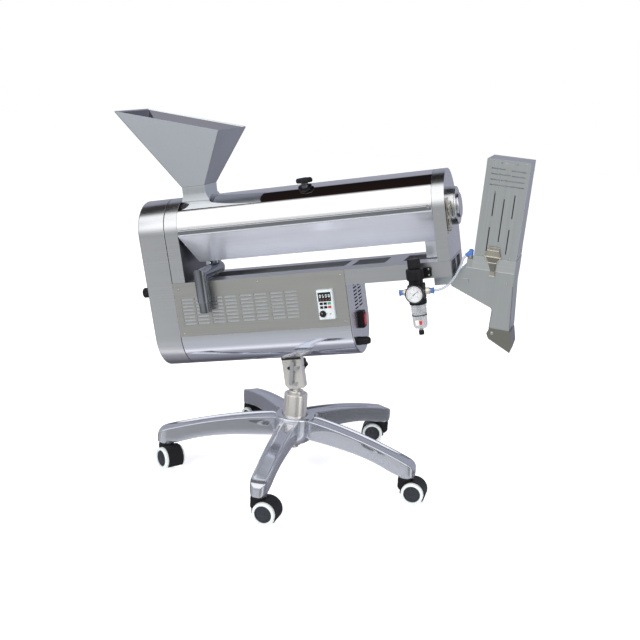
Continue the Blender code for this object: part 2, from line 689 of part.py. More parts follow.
def trough_block(inset, lift):
    """A trough with six sides and a left end that slants, INSET all round and LIFT taller."""
    floor = TROUGH_FLOOR + inset
    top = RIM_TOP + lift
    side = CASING_RADIUS - inset
    section = [(-side, top), (-side, RIM_BOTTOM), (-TROUGH_FLOOR_HALF, floor),
               (TROUGH_FLOOR_HALF, floor), (side, RIM_BOTTOM), (side, top)]
    left = BAND_RIGHT + 0.0010 + inset
    right = POST_LEFT - 0.0010 - inset
    slant = prism("y", [(left + 0.0225, 0.09), (left + 0.0225, TROUGH_FLOOR), (left, RIM_BOTTOM),
                        (left - 0.01, RIM_BOTTOM), (left - 0.01, 0.09)], -0.1, 0.1)
    return cut(prism("x", section, left, right), slant)


PIPE_U = -0.2255
PIPE_V = -0.107
PIPE_W = 0.083
PIPE_RADIUS = 0.017


def make_dust_trough():
    shell = trough_block(0, 0)
    room = trough_block(SHEET, 0.01)
    drain = lathe("z", (PIPE_U, 0), [(0.0115, TROUGH_FLOOR - 0.01), (0.0115, TROUGH_FLOOR + 0.01)], 16)
    duct = box((0.3380, -0.028, FRAME_TOP + 0.0020), (0.3720, 0.028, TROUGH_FLOOR + 0.001))
    duct_room = box((0.3400, -0.026, FRAME_TOP - 0.01), (0.3700, 0.026, TROUGH_FLOOR + 0.01))
    knuckles = []
    for middle in HINGES:
        low, high = middle + 0.0186, middle + 0.0360
        bracket = [(0.0855, 0.1850), (0.0870, 0.1850), (0.0935, 0.1945), (0.0935, 0.1985), (0.0890, 0.1985),
                   (0.0890, 0.1950), (0.0855, 0.1930)]
        knuckles.append(prism("x", bracket, low, high))
        knuckles.append(prism("x", circle((HINGE_V, HINGE_W), 0.0038, 12), low, high))
    notch = lathe("x", (0, HIGH_CENTRE), [(SHAFT_RADIUS + 0.001, -0.3), (SHAFT_RADIUS + 0.001, 0.4)], 20)
    shape = cut(joined(cut(shell, room), duct, *knuckles), drain, duct_room, notch)
    part("dust_trough", shape, SATIN_STEEL, BODY)


def make_screen():
    radius, wall = 0.062, 0.0015
    top = HIGH_CENTRE + 0.0015
    bowl = arc((0, HIGH_CENTRE), radius, 180, 360, 20)
    inside = arc((0, HIGH_CENTRE), radius - wall, 360, 180, 20)
    lip = CASING_RADIUS - SHEET - 0.0006
    outline = ([(-lip, top), (-lip, HIGH_CENTRE)] + bowl + [(lip, HIGH_CENTRE), (lip, top)]
               + [(radius - wall, top)] + inside + [(-radius + wall, top)])
    shape = prism("x", outline, -0.2530, 0.3360)
    part("screen", shape, SATIN_STEEL, BODY)


def make_brush():
    shaft = lathe("x", (0, HIGH_CENTRE), [(0.0070, -0.3720), (SHAFT_RADIUS, -0.3710),
                                          (SHAFT_RADIUS, 0.4075), (0.0070, 0.4085)], 16)
    part("brush_shaft", shaft, SATIN_STEEL, BODY, (0, 0, HIGH_CENTRE))

    sides, steps = 8, 26
    start, end, turns = -0.250, 0.330, 4.6

    def brush_ring(share):
        twist = 2 * pi * turns * share
        ring = []
        for i in range(sides):
            angle = 2 * pi * i / sides + twist
            radius = 0.020 + 0.036 * abs(cos(pi * i / sides)) ** 3
            along = start + (end - start) * share
            ring.append((along, radius * cos(angle), HIGH_CENTRE + radius * sin(angle)))
        return ring

    spiral = loft([brush_ring(step / steps) for step in range(steps + 1)])
    part("spiral_brush", cut(spiral, shaft_hole(start - 0.01, end + 0.01)), BRISTLE, BODY,
         (0, 0, HIGH_CENTRE))


def bent_pipe(radius, back, rings_down, sides):
    """A pipe from v = BACK forwards, round a mitred corner and down through (radius, w) rings."""
    turns = [2 * pi * i / sides for i in range(sides)]
    rings = [[(PIPE_U + radius * cos(a), back, PIPE_W + radius * sin(a)) for a in turns],
             [(PIPE_U + radius * cos(a), PIPE_V - radius * sin(a), PIPE_W + radius * sin(a)) for a in turns]]
    for size, height in rings_down:
        rings.append([(PIPE_U + size * cos(a), PIPE_V - size * sin(a), height) for a in turns])
    return loft(rings)


def make_suction_pipe():
    outside = bent_pipe(PIPE_RADIUS, 0.018, [(PIPE_RADIUS, 0.0150), (0.0150, 0.0137), (0.0150, -0.0120)], 20)
    inside = bent_pipe(PIPE_RADIUS - SHEET, 0.016, [(PIPE_RADIUS - SHEET, 0.0180), (0.0130, 0.0160),
                                                    (0.0130, -0.0200)], 16)
    stub = lathe("z", (PIPE_U, 0), [(0.0130, PIPE_W), (0.0130, TROUGH_FLOOR - GAP)], 14)
    throat = lathe("z", (PIPE_U, 0), [(0.0110, PIPE_W), (0.0110, TROUGH_FLOOR + 0.01)], 12)
    part("suction_pipe", cut(joined(outside, stub), inside, throat), MIRROR_STEEL, BODY)


# ---------------------------------------------------------------- drive

MOTOR_PULLEY_RADIUS = 0.022
BRUSH_PULLEY_RADIUS = 0.036
PULLEY_LEFT = -0.3640
PULLEY_RIGHT = -0.3460
GROOVE = 0.0050


def make_motor():
    left = BAND_LEFT + SHEET + GAP
    profile = [(0.0060, -0.3660), (0.0060, left - 0.0005), (0.0095, left), (0.0095, left + 0.0003),
               (0.0500, left + 0.0006), (0.0500, left + 0.0080), (0.0420, left + 0.0100),
               (0.0420, -0.1950), (0.0440, -0.1940), (0.0440, -0.1650), (0.0380, -0.1600)]
    part("motor", lathe("x", (0, MOTOR_W), profile, 16), MOTOR_PAINT, BODY, (0, 0, MOTOR_W))


def pulley(radius, bore, height):
    middle = (PULLEY_LEFT + PULLEY_RIGHT) / 2
    profile = [(bore + GAP, PULLEY_LEFT), (radius, PULLEY_LEFT), (radius, middle - 0.0060),
               (radius - GROOVE, middle - 0.0045), (radius - GROOVE, middle + 0.0045),
               (radius, middle + 0.0060), (radius, PULLEY_RIGHT), (bore + GAP, PULLEY_RIGHT)]
    return lathe("x", (0, height), profile, 16, tube=True)


def belt_line(offset):
    """The belt's loop round both pulleys, OFFSET outside the groove floors, in the v-w plane."""
    small = MOTOR_PULLEY_RADIUS - GROOVE + offset
    large = BRUSH_PULLEY_RADIUS - GROOVE + offset
    lean = 180 / pi * asin((large - small) / (HIGH_CENTRE - MOTOR_W))
    return (arc((0, HIGH_CENTRE), large, -lean, 180 + lean, 16)
            + arc((0, MOTOR_W), small, 180 + lean, 360 - lean, 12))


def make_drive():
    make_motor()
    part("motor_pulley", pulley(MOTOR_PULLEY_RADIUS, 0.0060, MOTOR_W), DARK_STEEL, BODY, (0, 0, MOTOR_W))
    part("brush_pulley", pulley(BRUSH_PULLEY_RADIUS, SHAFT_RADIUS, HIGH_CENTRE), DARK_STEEL, BODY,
         (0, 0, HIGH_CENTRE))
    middle = (PULLEY_LEFT + PULLEY_RIGHT) / 2
    rings = [[spot("x", point, along) for point in belt_line(offset)]
             for offset, along in ((0.0006, middle - 0.0038), (0.0050, middle - 0.0038),
                                   (0.0050, middle + 0.0038), (0.0006, middle + 0.0038))]
    part("drive_belt", loft(rings, cyclic=True), BELT_RUBBER, BODY)


# ---------------------------------------------------------------- controls

BOX_FRONT = -0.0990
BOX_BACK = -CASING_RADIUS - GAP
KEY_COLUMNS = (0.0790, 0.0893, 0.0996)
KEY_ROWS = (-0.0142, -0.0235)
KEY_WIDTH = 0.0076
KEY_HEIGHT = 0.0056
DIAL = (0.0800, -0.0400)


def make_control_box():
    rings = [[spot("y", point, along) for point in rectangle(low, high)]
             for low, high, along in (((0.0690, -0.0545), (0.1100, 0.0200), BOX_BACK),
                                      ((0.0690, -0.0545), (0.1100, 0.0200), BOX_FRONT + 0.0020),
                                      ((0.0705, -0.0530), (0.1085, 0.0185), BOX_FRONT))]
    pockets = [box((u - KEY_WIDTH / 2 - GAP, BOX_FRONT - 0.01, w - KEY_HEIGHT / 2 - GAP),
                   (u + KEY_WIDTH / 2 + GAP, -0.0960, w + KEY_HEIGHT / 2 + GAP))
               for u in KEY_COLUMNS for w in KEY_ROWS]
    pockets.append(box((0.0735, BOX_FRONT - 0.01, -0.0080), (0.1050, -0.0980, 0.0130)))
    part("control_box", cut(loft(rings), together(pockets)), PALE_PLASTIC, BODY)


def make_keys():
    names = (("menu_key", "shift_key"), ("up_key", "down_key"), ("run_key", "stop_key"))
    for u, pair in zip(KEY_COLUMNS, names):
        for w, name in zip(KEY_ROWS, pair):
            skin = {"run_key": GREEN_PLASTIC, "stop_key": RED_PLASTIC}.get(name, BLACK_PLASTIC)
            rings = [[spot("y", point, along)
                      for point in rectangle((u - KEY_WIDTH / 2 + inset, w - KEY_HEIGHT / 2 + inset),
                                             (u + KEY_WIDTH / 2 - inset, w + KEY_HEIGHT / 2 - inset))]
                     for inset, along in ((0, -0.0968), (0, -0.0996), (0.0006, -0.1002))]
            part(name, loft(rings), skin, BODY, (u, -0.0968, w))


def make_speed_dial():
    profile = [(0.0066, BOX_FRONT - GAP), (0.0066, BOX_FRONT - 0.0015), (0.0058, BOX_FRONT - 0.0020),
               (0.0055, BOX_FRONT - 0.0060), (0.0048, BOX_FRONT - 0.0068)]
    u, w = DIAL
    slot = box((u - 0.0006, -0.12, w + 0.0015), (u + 0.0006, BOX_FRONT - 0.0062, w + 0.006))
    part("speed_dial", cut(lathe("y", DIAL, profile, 20), slot), BLACK_PLASTIC, BODY, (u, BOX_FRONT, w))


SWITCH_W = -0.0800
ROCKER_U = 0.1560


def make_power_switch():
    left, right = CASING_RIGHT + GAP, 0.1575
    rings = [[spot("x", point, along)
              for point in rectangle((-0.0135 + inset, SWITCH_W - 0.0215 + inset),
                                     (0.0135 - inset, SWITCH_W + 0.0215 - inset))]
             for inset, along in ((0, left), (0, right - 0.0025), (0.0025, right))]
    pocket = box((0.1520, -0.0090, SWITCH_W - 0.0155), (0.17, 0.0090, SWITCH_W + 0.0155))
    part("switch_housing", cut(loft(rings), pocket), BLACK_PLASTIC, BODY)

    rocker = [(-0.0010, SWITCH_W - 0.0142), (0.0040, SWITCH_W - 0.0146), (0.0030, SWITCH_W),
              (0.0052, SWITCH_W + 0.0136), (0.0005, SWITCH_W + 0.0142), (-0.0016, SWITCH_W)]
    shape = prism("y", [(ROCKER_U + u, w) for u, w in rocker], -0.0085, 0.0085)
    part("power_rocker", shape, RED_PLASTIC, BODY, (ROCKER_U, 0, SWITCH_W))


def make_cable_gland():
    left = CASING_RIGHT + GAP
    profile = [(0.0110, left), (0.0110, left + 0.0060), (0.0098, left + 0.0070), (0.0098, left + 0.0210),
               (0.0088, left + 0.0270), (0.0060, left + 0.0305), (0.0035, left + 0.0305), (0.0035, left)]
    part("cable_gland", lathe("x", (-0.043, -0.1265), profile, 16, tube=True), BLACK_PLASTIC, BODY)


# ---------------------------------------------------------------- air supply

REGULATOR_U = 0.3240
REGULATOR_V = -0.1180
PORT_W = 0.0020


def make_regulator():
    u, v = REGULATOR_U, REGULATOR_V
    block = lathe("z", (u, v), [(0.0200, -0.0275), (0.0210, -0.0250), (0.0210, -0.0160), (0.0170, -0.0140),
                                (0.0170, 0.0300), (0.0205, 0.0320), (0.0205, 0.0560), (0.0160, 0.0580)], 20)
    waist = box((u - 0.0185, v - 0.0185, -0.0150), (u + 0.0185, v + 0.0185, 0.0200))
    ports = prism("y", circle((u, PORT_W), 0.0050, 12), v - 0.0230, v)
    fittings = [lathe("x", (v, PORT_W), profile, 10)
                for profile in ([(0.0055, u - 0.0420), (0.0062, u - 0.0410), (0.0062, u - 0.0330),
                                 (0.0085, u - 0.0325), (0.0085, u - 0.0240), (0.0065, u - 0.0235),
                                 (0.0065, u - 0.0150)],
                                [(0.0065, u + 0.0150), (0.0065, u + 0.0215), (0.0085, u + 0.0220),
                                 (0.0085, u + 0.0300), (0.0062, u + 0.0305), (0.0062, u + 0.0395),
                                 (0.0055, u + 0.0403)])]
    plate = box((u + 0.0020, -0.0920, 0.0300), (u + 0.0335, -CASING_RADIUS - GAP, 0.0530))
    link = box((u + 0.0020, v, 0.0340), (u + 0.0140, -0.0900, 0.0510))
    part("regulator_body", joined(block, waist, ports, *fittings, link, plate), BLACK_PLASTIC, BODY)

    rings = []
    for radius, along in ((0.0145, 0.0585), (0.0150, 0.0600), (0.0148, 0.0790), (0.0130, 0.0812)):
        rings.append([(u + radius * (1 + 0.02 * (-1) ** i) * cos(2 * pi * i / 30),
                       v + radius * (1 + 0.02 * (-1) ** i) * sin(2 * pi * i / 30), along) for i in range(30)])
    part("regulator_knob", loft(rings), BLACK_PLASTIC, BODY, (u, v, 0.0585))

    front = v - 0.0233
    gauge = [(0.0150, front), (0.0215, front - 0.0010), (0.0220, front - 0.0020), (0.0220, front - 0.0115),
             (0.0210, front - 0.0125), (0.0195, front - 0.0125), (0.0190, front - 0.0105)]
    part("pressure_gauge", lathe("y", (u, PORT_W), gauge, 24), GAUGE_FACE, BODY, (u, front, PORT_W))

    top = -0.0278
    bowl = [(0.0170, top), (0.0195, top), (0.0195, top - 0.0060), (0.0188, top - 0.0070), (0.0172, -0.0790),
            (0.0150, -0.0850), (0.0060, -0.0870), (0.0060, -0.0930), (0.0062, -0.0935), (0.0062, -0.1020),
            (0.0045, -0.1020), (0.0045, -0.0850), (0.0130, -0.0830), (0.0150, -0.0780)]
    part("filter_bowl", lathe("z", (u, v), bowl, 16, tube=True), CLEAR_PLASTIC, BODY, (u, v, top))


# Hose and elbow, measured from the column axis and the floor.
HOSE_RADIUS = 0.0030
HOSE_ROUTE = ((0.3583, -0.1180, 0.5560), (0.3660, -0.1172, 0.5577), (0.3790, -0.1110, 0.5635),
              (0.3900, -0.1005, 0.5735), (0.3980, -0.0885, 0.5860), (0.4035, -0.0775, 0.6000),
              (0.4073, -0.0687, 0.6140), (0.41083, -0.06158, 0.62894), (0.4160, -0.0590, 0.6345))
ELBOW_CENTRE = Vector((0.4266, -0.0537, 0.6459))


def smooth_route(points, pieces):
    """Points read from a Catmull-Rom curve through the route."""
    knots = [Vector(point) for point in points]
    knots = [2 * knots[0] - knots[1], *knots, 2 * knots[-1] - knots[-2]]
    route = []
    for before, start, end, after in zip(knots, knots[1:], knots[2:], knots[3:]):
        for step in range(pieces):
            t = step / pieces
            route.append(0.5 * (2 * start + (end - before) * t
                                + (2 * before - 5 * start + 4 * end - after) * t**2
                                + (3 * start - before - 3 * end + after) * t**3))
    route.append(knots[-2])
    return route


def make_air_hose():
    curve = bpy.data.curves.new("air_hose", "CURVE")
    curve.dimensions = "3D"
    curve.bevel_depth = HOSE_RADIUS
    curve.bevel_resolution = 2
    curve.use_fill_caps = True
    route = smooth_route(HOSE_ROUTE, 2)
    spline = curve.splines.new("POLY")
    spline.points.add(len(route) - 1)
    for target, point in zip(spline.points, route):
        target.co = (*point, 1.0)
    placed("air_hose", curve, CLEAR_PLASTIC, BASE)


def rod(start, end, radius, sides=14):
    """A straight round bar between two points."""
    way = (Vector(end) - Vector(start)).normalized()
    aside = way.cross(Vector((0, 1, 0))).normalized()
    up = aside.cross(way)
    rings = [[Vector(at) + radius * (cos(2 * pi * i / sides) * aside + sin(2 * pi * i / sides) * up)
              for i in range(sides)] for at in (start, end)]
    return loft(rings)


def make_hose_elbow():
    end = Vector(HOSE_ROUTE[-1])
    way = (ELBOW_CENTRE - end).normalized()
    leg = rod(end + 0.0005 * way, ELBOW_CENTRE + 0.001 * way, 0.0052)
    foot = ELBOW_CENTRE - Vector((0, 0, 0.0163))
    stem = joined(rod(foot, foot + Vector((0, 0, 0.0075)), 0.0060, 6),
                  rod(foot + Vector((0, 0, 0.0050)), ELBOW_CENTRE + Vector((0, 0, 0.0055)), 0.0054))
    part("hose_elbow", joined(stem, leg), BLUE_PLASTIC, BASE, ELBOW_CENTRE)


# ---------------------------------------------------------------- sorter


def make_sorter_column():
    """An open-bottomed sheet box with breathing slots in its front."""
    half, wall = COLUMN_HALF_WIDTH, 0.0015
    shell = box((-half, SORTER_FRONT, GAP), (half, SORTER_BACK, COLUMN_HEIGHT))
    room = box((-half + wall, SORTER_FRONT + wall, -0.01),
               (half - wall, SORTER_BACK - wall, COLUMN_HEIGHT - wall))
    across = [(-0.0365, 0.0420, 0.1705), (-0.0365, 0.0410, 0.1825), (-0.0365, 0.0075, 0.1955),
              (0.0105, 0.0420, 0.1945), (-0.0370, -0.0045, 0.2080), (0.0090, 0.0425, 0.2065)]
    upright = [(-0.0213, 0.0980, 0.1560), (0.0017, 0.0400, 0.1400), (0.0248, 0.0976, 0.1536),
               (-0.0230, 0.0146, 0.0718), (0.0227, 0.0134, 0.0715)]
    slots = [(left, right, middle - 0.0013, middle + 0.0013) for left, right, middle in across]
    slots += [(middle - 0.0013, middle + 0.0013, low, high) for middle, low, high in upright]
    slots.append((-0.0175, 0.0226, 0.2205, 0.2250))
    tools = together(box((left, SORTER_FRONT - 0.01, low), (right, SORTER_FRONT + 0.01, high))
                     for left, right, low, high in slots)
    keeper = box((-0.0160, SORTER_FRONT - 0.0022, 0.0170), (0.0040, SORTER_FRONT + 0.0005, 0.0240))
    part("sorter_column", joined(cut(shell, room, tools), keeper), SATIN_STEEL, SORTER, (0, 0, GAP))


BASE_OUTLINE = ((-0.0937, -0.0804), (0.0085, -0.1190), (0.0112, -0.1240), (0.0098, -0.1735),
                (0.0590, -0.1735), (0.0510, -0.0600), (0.0505, 0.0), (-0.0505, 0.0),
                (-0.0505, -0.0320), (-0.0740, -0.0340), (-0.0937, -0.0620))
BASE_ROOM = ((-0.0917, -0.0791), (0.0098, -0.1174), (0.0132, -0.1236), (0.0118, -0.1835),
             (0.0577, -0.1835), (0.0490, -0.0600), (0.0485, 0.0100), (-0.0485, 0.0100),
             (-0.0485, -0.0340), (-0.0730, -0.0362), (-0.0917, -0.0628))


def make_sorter_base():
    """The chute under the column, with the tongue that hangs it from the frame's end."""
    shell = prism("y", BASE_OUTLINE, SORTER_FRONT, SORTER_BACK)
    room = prism("y", BASE_ROOM, SORTER_FRONT + SHEET, SORTER_BACK - SHEET)

    def behind(inset):
        """Everything behind the chute's back, which steps forward below the band, as a cutter."""
        full, low = SORTER_BACK - inset, SORTER_BACK - 0.0086 - inset
        return prism("x", [(full + 0.02, -0.030), (full, -0.030), (low, -0.060), (low, -0.30),
                           (full + 0.02, -0.30)], -0.2, 0.2)

    shape = cut(cut(shell, behind(0)), cut(room, behind(SHEET)))
    block = box((-0.0640, -0.0600, -0.0365), (-0.0500, -0.0440, -0.0095))
    lug = box((-0.0060, SORTER_FRONT - 0.0040, -0.0450), (0.0050, SORTER_FRONT + 0.0005, -0.0385))
    tongue = joined(box((0.3570, -0.062, 0.0030), (0.4000, 0.050, 0.0245)),
                    box((0.3990, -0.062, 0.0030), (0.4380, 0.050, 0.0130)))
    for vertex in tongue.verts:
        vertex.co = SORTER.matrix_local.inverted() @ (BODY.matrix_local @ vertex.co)
    part("sorter_base", joined(shape, block, lug, cut(tongue, prism("y", BASE_ROOM, -0.058, 0.040))),
         SATIN_STEEL, SORTER)


LATCH_HINGE = (SORTER_FRONT - 0.0062, -0.0415)


def make_sorter_latch():
    back, front = SORTER_FRONT - 0.0042, SORTER_FRONT - 0.0062
    outline = [(-0.0064, -0.0413), (0.0055, -0.0413), (0.0060, -0.0110), (0.0143, 0.0040), (0.0120, 0.0130),
               (0.0086, 0.0150), (0.0086, 0.0275), (-0.0208, 0.0275), (-0.0208, 0.0150), (-0.0245, 0.0125),
               (-0.0225, 0.0040), (-0.0142, -0.0100)]
    lever = prism("y", outline, front, back)
    lip = box((-0.0208, front - 0.0030, 0.0245), (0.0086, back, 0.0275))
    grip = box((-0.0060, front - 0.0040, -0.0320), (0.0050, front + 0.001, -0.0140))
    barrel = prism("x", circle(LATCH_HINGE, 0.0020, 10), -0.0064, 0.0055)
    part("sorter_latch", joined(lever, lip, grip, barrel), MIRROR_STEEL, SORTER, (-0.0005, *LATCH_HINGE))


FLAP_PIVOT = (0.0190, -0.1785)


def make_outlet_flap():
    front = SORTER_FRONT - 0.0026
    outline = [(0.0106, -0.1678), (0.0057, -0.1822), (0.0120, -0.1941), (0.0666, -0.2205),
               (0.0700, -0.2030), (0.0625, -0.1684)]
    room = [(-0.02, -0.15), (-0.02, -0.24), (0.0645, -0.24), (0.0680, -0.2030), (0.0605, -0.1684),
            (0.0600, -0.15)]
    shell = prism("y", outline, front, 0.010)
    bolt = prism("y", circle(FLAP_PIVOT, 0.0042, 12), front - 0.0022, front + 0.0005)
    part("outlet_flap", joined(cut(shell, prism("y", room, front + 0.0015, 0.04)), bolt), OLIVE_STEEL, SORTER,
         (FLAP_PIVOT[0], SORTER_FRONT, FLAP_PIVOT[1]))


# ---------------------------------------------------------------- assembly

bpy.context.view_layer.update()
make_star_base()
make_casters()
make_column()
make_tilt_joint()
make_tilt_bracket()
make_lower_shell()
make_louvre_panel()
make_end_plate()
make_frame_rails()
make_head_housing()
make_head_knob()
make_bulkhead()
make_right_head()
make_end_cap()
make_cover_latch()
make_top_cover()
make_cover_knob()
make_hopper()
make_dust_trough()
make_screen()
make_brush()
make_suction_pipe()
make_drive()
make_control_box()
make_keys()
make_speed_dial()
make_power_switch()
make_cable_gland()
make_regulator()
make_air_hose()
make_hose_elbow()
make_sorter_column()
make_sorter_base()
make_sorter_latch()
make_outlet_flap()
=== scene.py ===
"""Looks of the capsule polisher with air sorter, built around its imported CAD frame.

Metres, +Z up.  Most pieces are drawn in the machine's own frame, whose first axis (u) runs
along it, second (v) away from the front and third (w) up.  The sorter's frame has axes p, q
and r in the same order.
"""

import json
from math import asin, cos, pi, radians, sin

import bmesh
import bpy
import numpy as np
from mathutils import Matrix, Vector


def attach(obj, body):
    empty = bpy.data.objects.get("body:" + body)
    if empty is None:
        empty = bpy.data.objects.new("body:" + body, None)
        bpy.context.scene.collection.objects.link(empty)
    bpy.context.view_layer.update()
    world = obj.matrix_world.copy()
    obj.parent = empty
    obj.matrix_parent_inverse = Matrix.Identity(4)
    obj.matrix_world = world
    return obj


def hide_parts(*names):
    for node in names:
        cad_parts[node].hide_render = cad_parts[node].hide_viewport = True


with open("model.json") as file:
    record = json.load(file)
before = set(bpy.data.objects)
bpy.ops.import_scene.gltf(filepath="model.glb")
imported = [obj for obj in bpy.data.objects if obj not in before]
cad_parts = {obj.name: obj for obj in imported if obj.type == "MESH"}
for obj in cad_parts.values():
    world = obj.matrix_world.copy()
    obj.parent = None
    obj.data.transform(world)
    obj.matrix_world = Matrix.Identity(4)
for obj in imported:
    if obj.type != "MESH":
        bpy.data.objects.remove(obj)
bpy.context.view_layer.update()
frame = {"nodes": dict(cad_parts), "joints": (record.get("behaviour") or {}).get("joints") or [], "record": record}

# ---------------------------------------------------------------- frames

joints = {joint["name"]: joint for joint in frame["joints"]}


def axis_of(name):
    return Vector(joints[name]["axis"])


def place_of(name):
    return Vector(joints[name]["pos_m"])


def frame_matrix(first, second, third, origin):
    made = Matrix((first, second, third)).transposed().to_4x4()
    made.translation = origin
    return made


HINGE_V = 0.0925                # cover hinge, in the machine's frame
HINGE_W = 0.1985
LATCH_HINGE = (-0.0005, -0.0662, -0.0415)   # sorter latch hinge, in the sorter's frame
ALONG = -axis_of("cover_open")
AWAY = axis_of("cover_latch_lift")
RISE = ALONG.cross(AWAY)
BODY = frame_matrix(ALONG, AWAY, RISE, place_of("cover_open") - HINGE_V * AWAY - HINGE_W * RISE)
SORTER = frame_matrix(axis_of("tower_latch_swing"), axis_of("outlet_flap_swing"), axis_of("sorter_lift"),
                      Vector((0, 0, 0)))
SORTER.translation = place_of("tower_latch_swing") - SORTER.to_3x3() @ Vector(LATCH_HINGE)
FOOT = Vector((place_of("column_swivel").x, place_of("column_swivel").y, 0))
BASE = Matrix.Translation(FOOT)
WORLD = Matrix.Identity(4)

# ---------------------------------------------------------------- camera, floor and light

CAMERA_AT = Vector((0.70772, -2.36603, 1.06987))    # from the foot of the column
CAMERA_TURN = 15.482            # degrees round from the front
CAMERA_DROP = 14.959
CAMERA_ROLL = 3.716
LENS = 55.61


def make_camera():
    turn, drop, roll = (radians(angle) for angle in (CAMERA_TURN, CAMERA_DROP, CAMERA_ROLL))
    back = Vector((sin(turn) * cos(drop), -cos(turn) * cos(drop), sin(drop)))
    level = (-back).cross(Vector((0, 0, 1))).normalized()
    upright = level.cross(-back)
    across = level * cos(roll) + upright * sin(roll)
    up = -level * sin(roll) + upright * cos(roll)
    camera = bpy.data.objects.new("camera", bpy.data.cameras.new("camera"))
    camera.data.lens = LENS
    camera.data.sensor_width = 36
    camera.matrix_world = frame_matrix(across, up, back, FOOT + CAMERA_AT)
    bpy.context.scene.collection.objects.link(camera)
    bpy.context.scene.camera = camera


FLOOR_RADIUS = 9
FLOOR_COLOUR = (0.86, 0.86, 0.87, 1)
FLOOR_GLOW = 0.58               # lifts the floor to the white of the background


def make_floor():
    """A round pale floor that reaches well past the part."""
    shape = bmesh.new()
    bmesh.ops.create_circle(shape, cap_ends=True, segments=96, radius=FLOOR_RADIUS)
    mesh = bpy.data.meshes.new("floor")
    shape.to_mesh(mesh)
    shape.free()
    floor = bpy.data.objects.new("floor", mesh)
    bpy.context.scene.collection.objects.link(floor)
    skin = bpy.data.materials.new("floor")
    skin.use_nodes = True
    sockets = skin.node_tree.nodes["Principled BSDF"].inputs
    sockets["Base Color"].default_value = FLOOR_COLOUR
    sockets["Roughness"].default_value = 0.7
    sockets["Emission Color"].default_value = (1, 1, 1, 1)
    sockets["Emission Strength"].default_value = FLOOR_GLOW
    mesh.materials.append(skin)
    floor.visible_glossy = False


def make_lamp(name, at, aim, size, power, colour=(1, 1, 1)):
    lamp = bpy.data.objects.new(name, bpy.data.lights.new(name, "AREA"))
    lamp.data.shape = "RECTANGLE"
    lamp.data.size, lamp.data.size_y = size
    lamp.data.energy = power
    lamp.data.color = colour
    lamp.location = at
    lamp.visible_glossy = False
    lamp.rotation_euler = (Vector(at) - Vector(aim)).to_track_quat("Z", "Y").to_euler()
    bpy.context.scene.collection.objects.link(lamp)


# What a mirror sees of the room: share of a turn, from below the back over the top to the
# front floor, against the room's colour there.
ROOM = ((0.00, (0.34, 0.35, 0.35)), (0.045, (0.46, 0.47, 0.47)), (0.10, (0.56, 0.57, 0.59)),
        (0.155, (0.62, 0.63, 0.67)), (0.185, (1.15, 1.15, 1.18)), (0.215, (0.40, 0.40, 0.44)),
        (0.27, (0.30, 0.30, 0.34)), (0.34, (0.10, 0.10, 0.12)), (0.43, (0.20, 0.20, 0.24)),
        (0.475, (0.40, 0.41, 0.48)), (0.62, (0.38, 0.39, 0.46)), (0.643, (0.36, 0.37, 0.44)),
        (0.652, (0.012, 0.009, 0.009)), (0.782, (0.016, 0.010, 0.009)), (0.806, (1.4, 1.4, 1.4)),
        (0.945, (1.4, 1.4, 1.4)), (0.970, (0.75, 0.76, 0.76)), (1.00, (0.36, 0.37, 0.37)))

# The room round the horizon: how bright it is, by share of a turn clockwise from the back.
ROUND = ((0.00, 1.0), (0.20, 1.0), (0.235, 0.55), (0.29, 0.45), (0.315, 1.0), (0.345, 0.45), (0.385, 1.1),
         (0.52, 1.0), (0.56, 0.45), (0.62, 0.35), (0.655, 1.4), (0.70, 1.3), (0.72, 0.45), (0.79, 0.55),
         (0.83, 1.0), (1.00, 1.0))


class Nodes:
    """Short ways to add nodes to a shader tree."""

    def __init__(self, tree):
        self.tree = tree

    def feed(self, socket, value):
        if isinstance(value, bpy.types.NodeSocket):
            self.tree.links.new(value, socket)
        else:
            socket.default_value = value

    def node(self, kind, settings=None, **inputs):
        """Inputs go by name, with _ for a space, or by number after a _."""
        made = self.tree.nodes.new("ShaderNode" + kind)
        for key, value in (settings or {}).items():
            setattr(made, key, value)
        for key, value in inputs.items():
            self.feed(made.inputs[int(key[1:]) if key[1:].isdigit() else key.replace("_", " ")], value)
        return made

    def math(self, operation, *values):
        made = self.node("Math", {"operation": operation})
        for socket, value in zip(made.inputs, values):
            self.feed(socket, value)
        return made.outputs[0]

    def range(self, value, low, high, to_low=0.0, to_high=1.0):
        return self.node("MapRange", Value=value, From_Min=low, From_Max=high, To_Min=to_low,
                         To_Max=to_high).outputs["Result"]

    def mix(self, factor, first, second, blend="MIX"):
        return self.node("Mix", {"data_type": "RGBA", "blend_type": blend},
                         _0=factor, _6=first, _7=second).outputs[2]

    def ramp(self, value, stops):
        made = self.node("ValToRGB", Fac=value)
        elements = made.color_ramp.elements
        for place, _ in stops[1:-1]:
            elements.new(place)
        for element, (place, colour) in zip(elements, stops):
            element.position = place
            element.color = (*colour, 1)
        return made.outputs["Color"]


def make_room():
    """Mirrors see a painted room; the camera sees plain white."""
    world = bpy.data.worlds.new("room")
    bpy.context.scene.world = world
    world.use_nodes = True
    room = Nodes(world.node_tree)
    x, y, z = room.node("SeparateXYZ", Vector=room.node("TexCoord").outputs["Generated"]).outputs
    overhead = room.range(room.math("ARCTAN2", z, y), -pi, pi)
    around = room.range(room.math("ARCTAN2", x, room.math("MULTIPLY", y, -1)), -pi, pi)
    near_level = room.range(room.math("ABSOLUTE", z), 0.45, 0.65, 1.0, 0.0)
    strips = room.ramp(around, [(place, (shade, shade, shade)) for place, shade in ROUND])
    painted = room.mix(near_level, room.ramp(overhead, ROOM), strips, "MULTIPLY")
    seen = room.mix(room.node("LightPath").outputs["Is Camera Ray"], painted, (1, 1, 1, 1))
    room.feed(room.tree.nodes["Background"].inputs["Color"], seen)


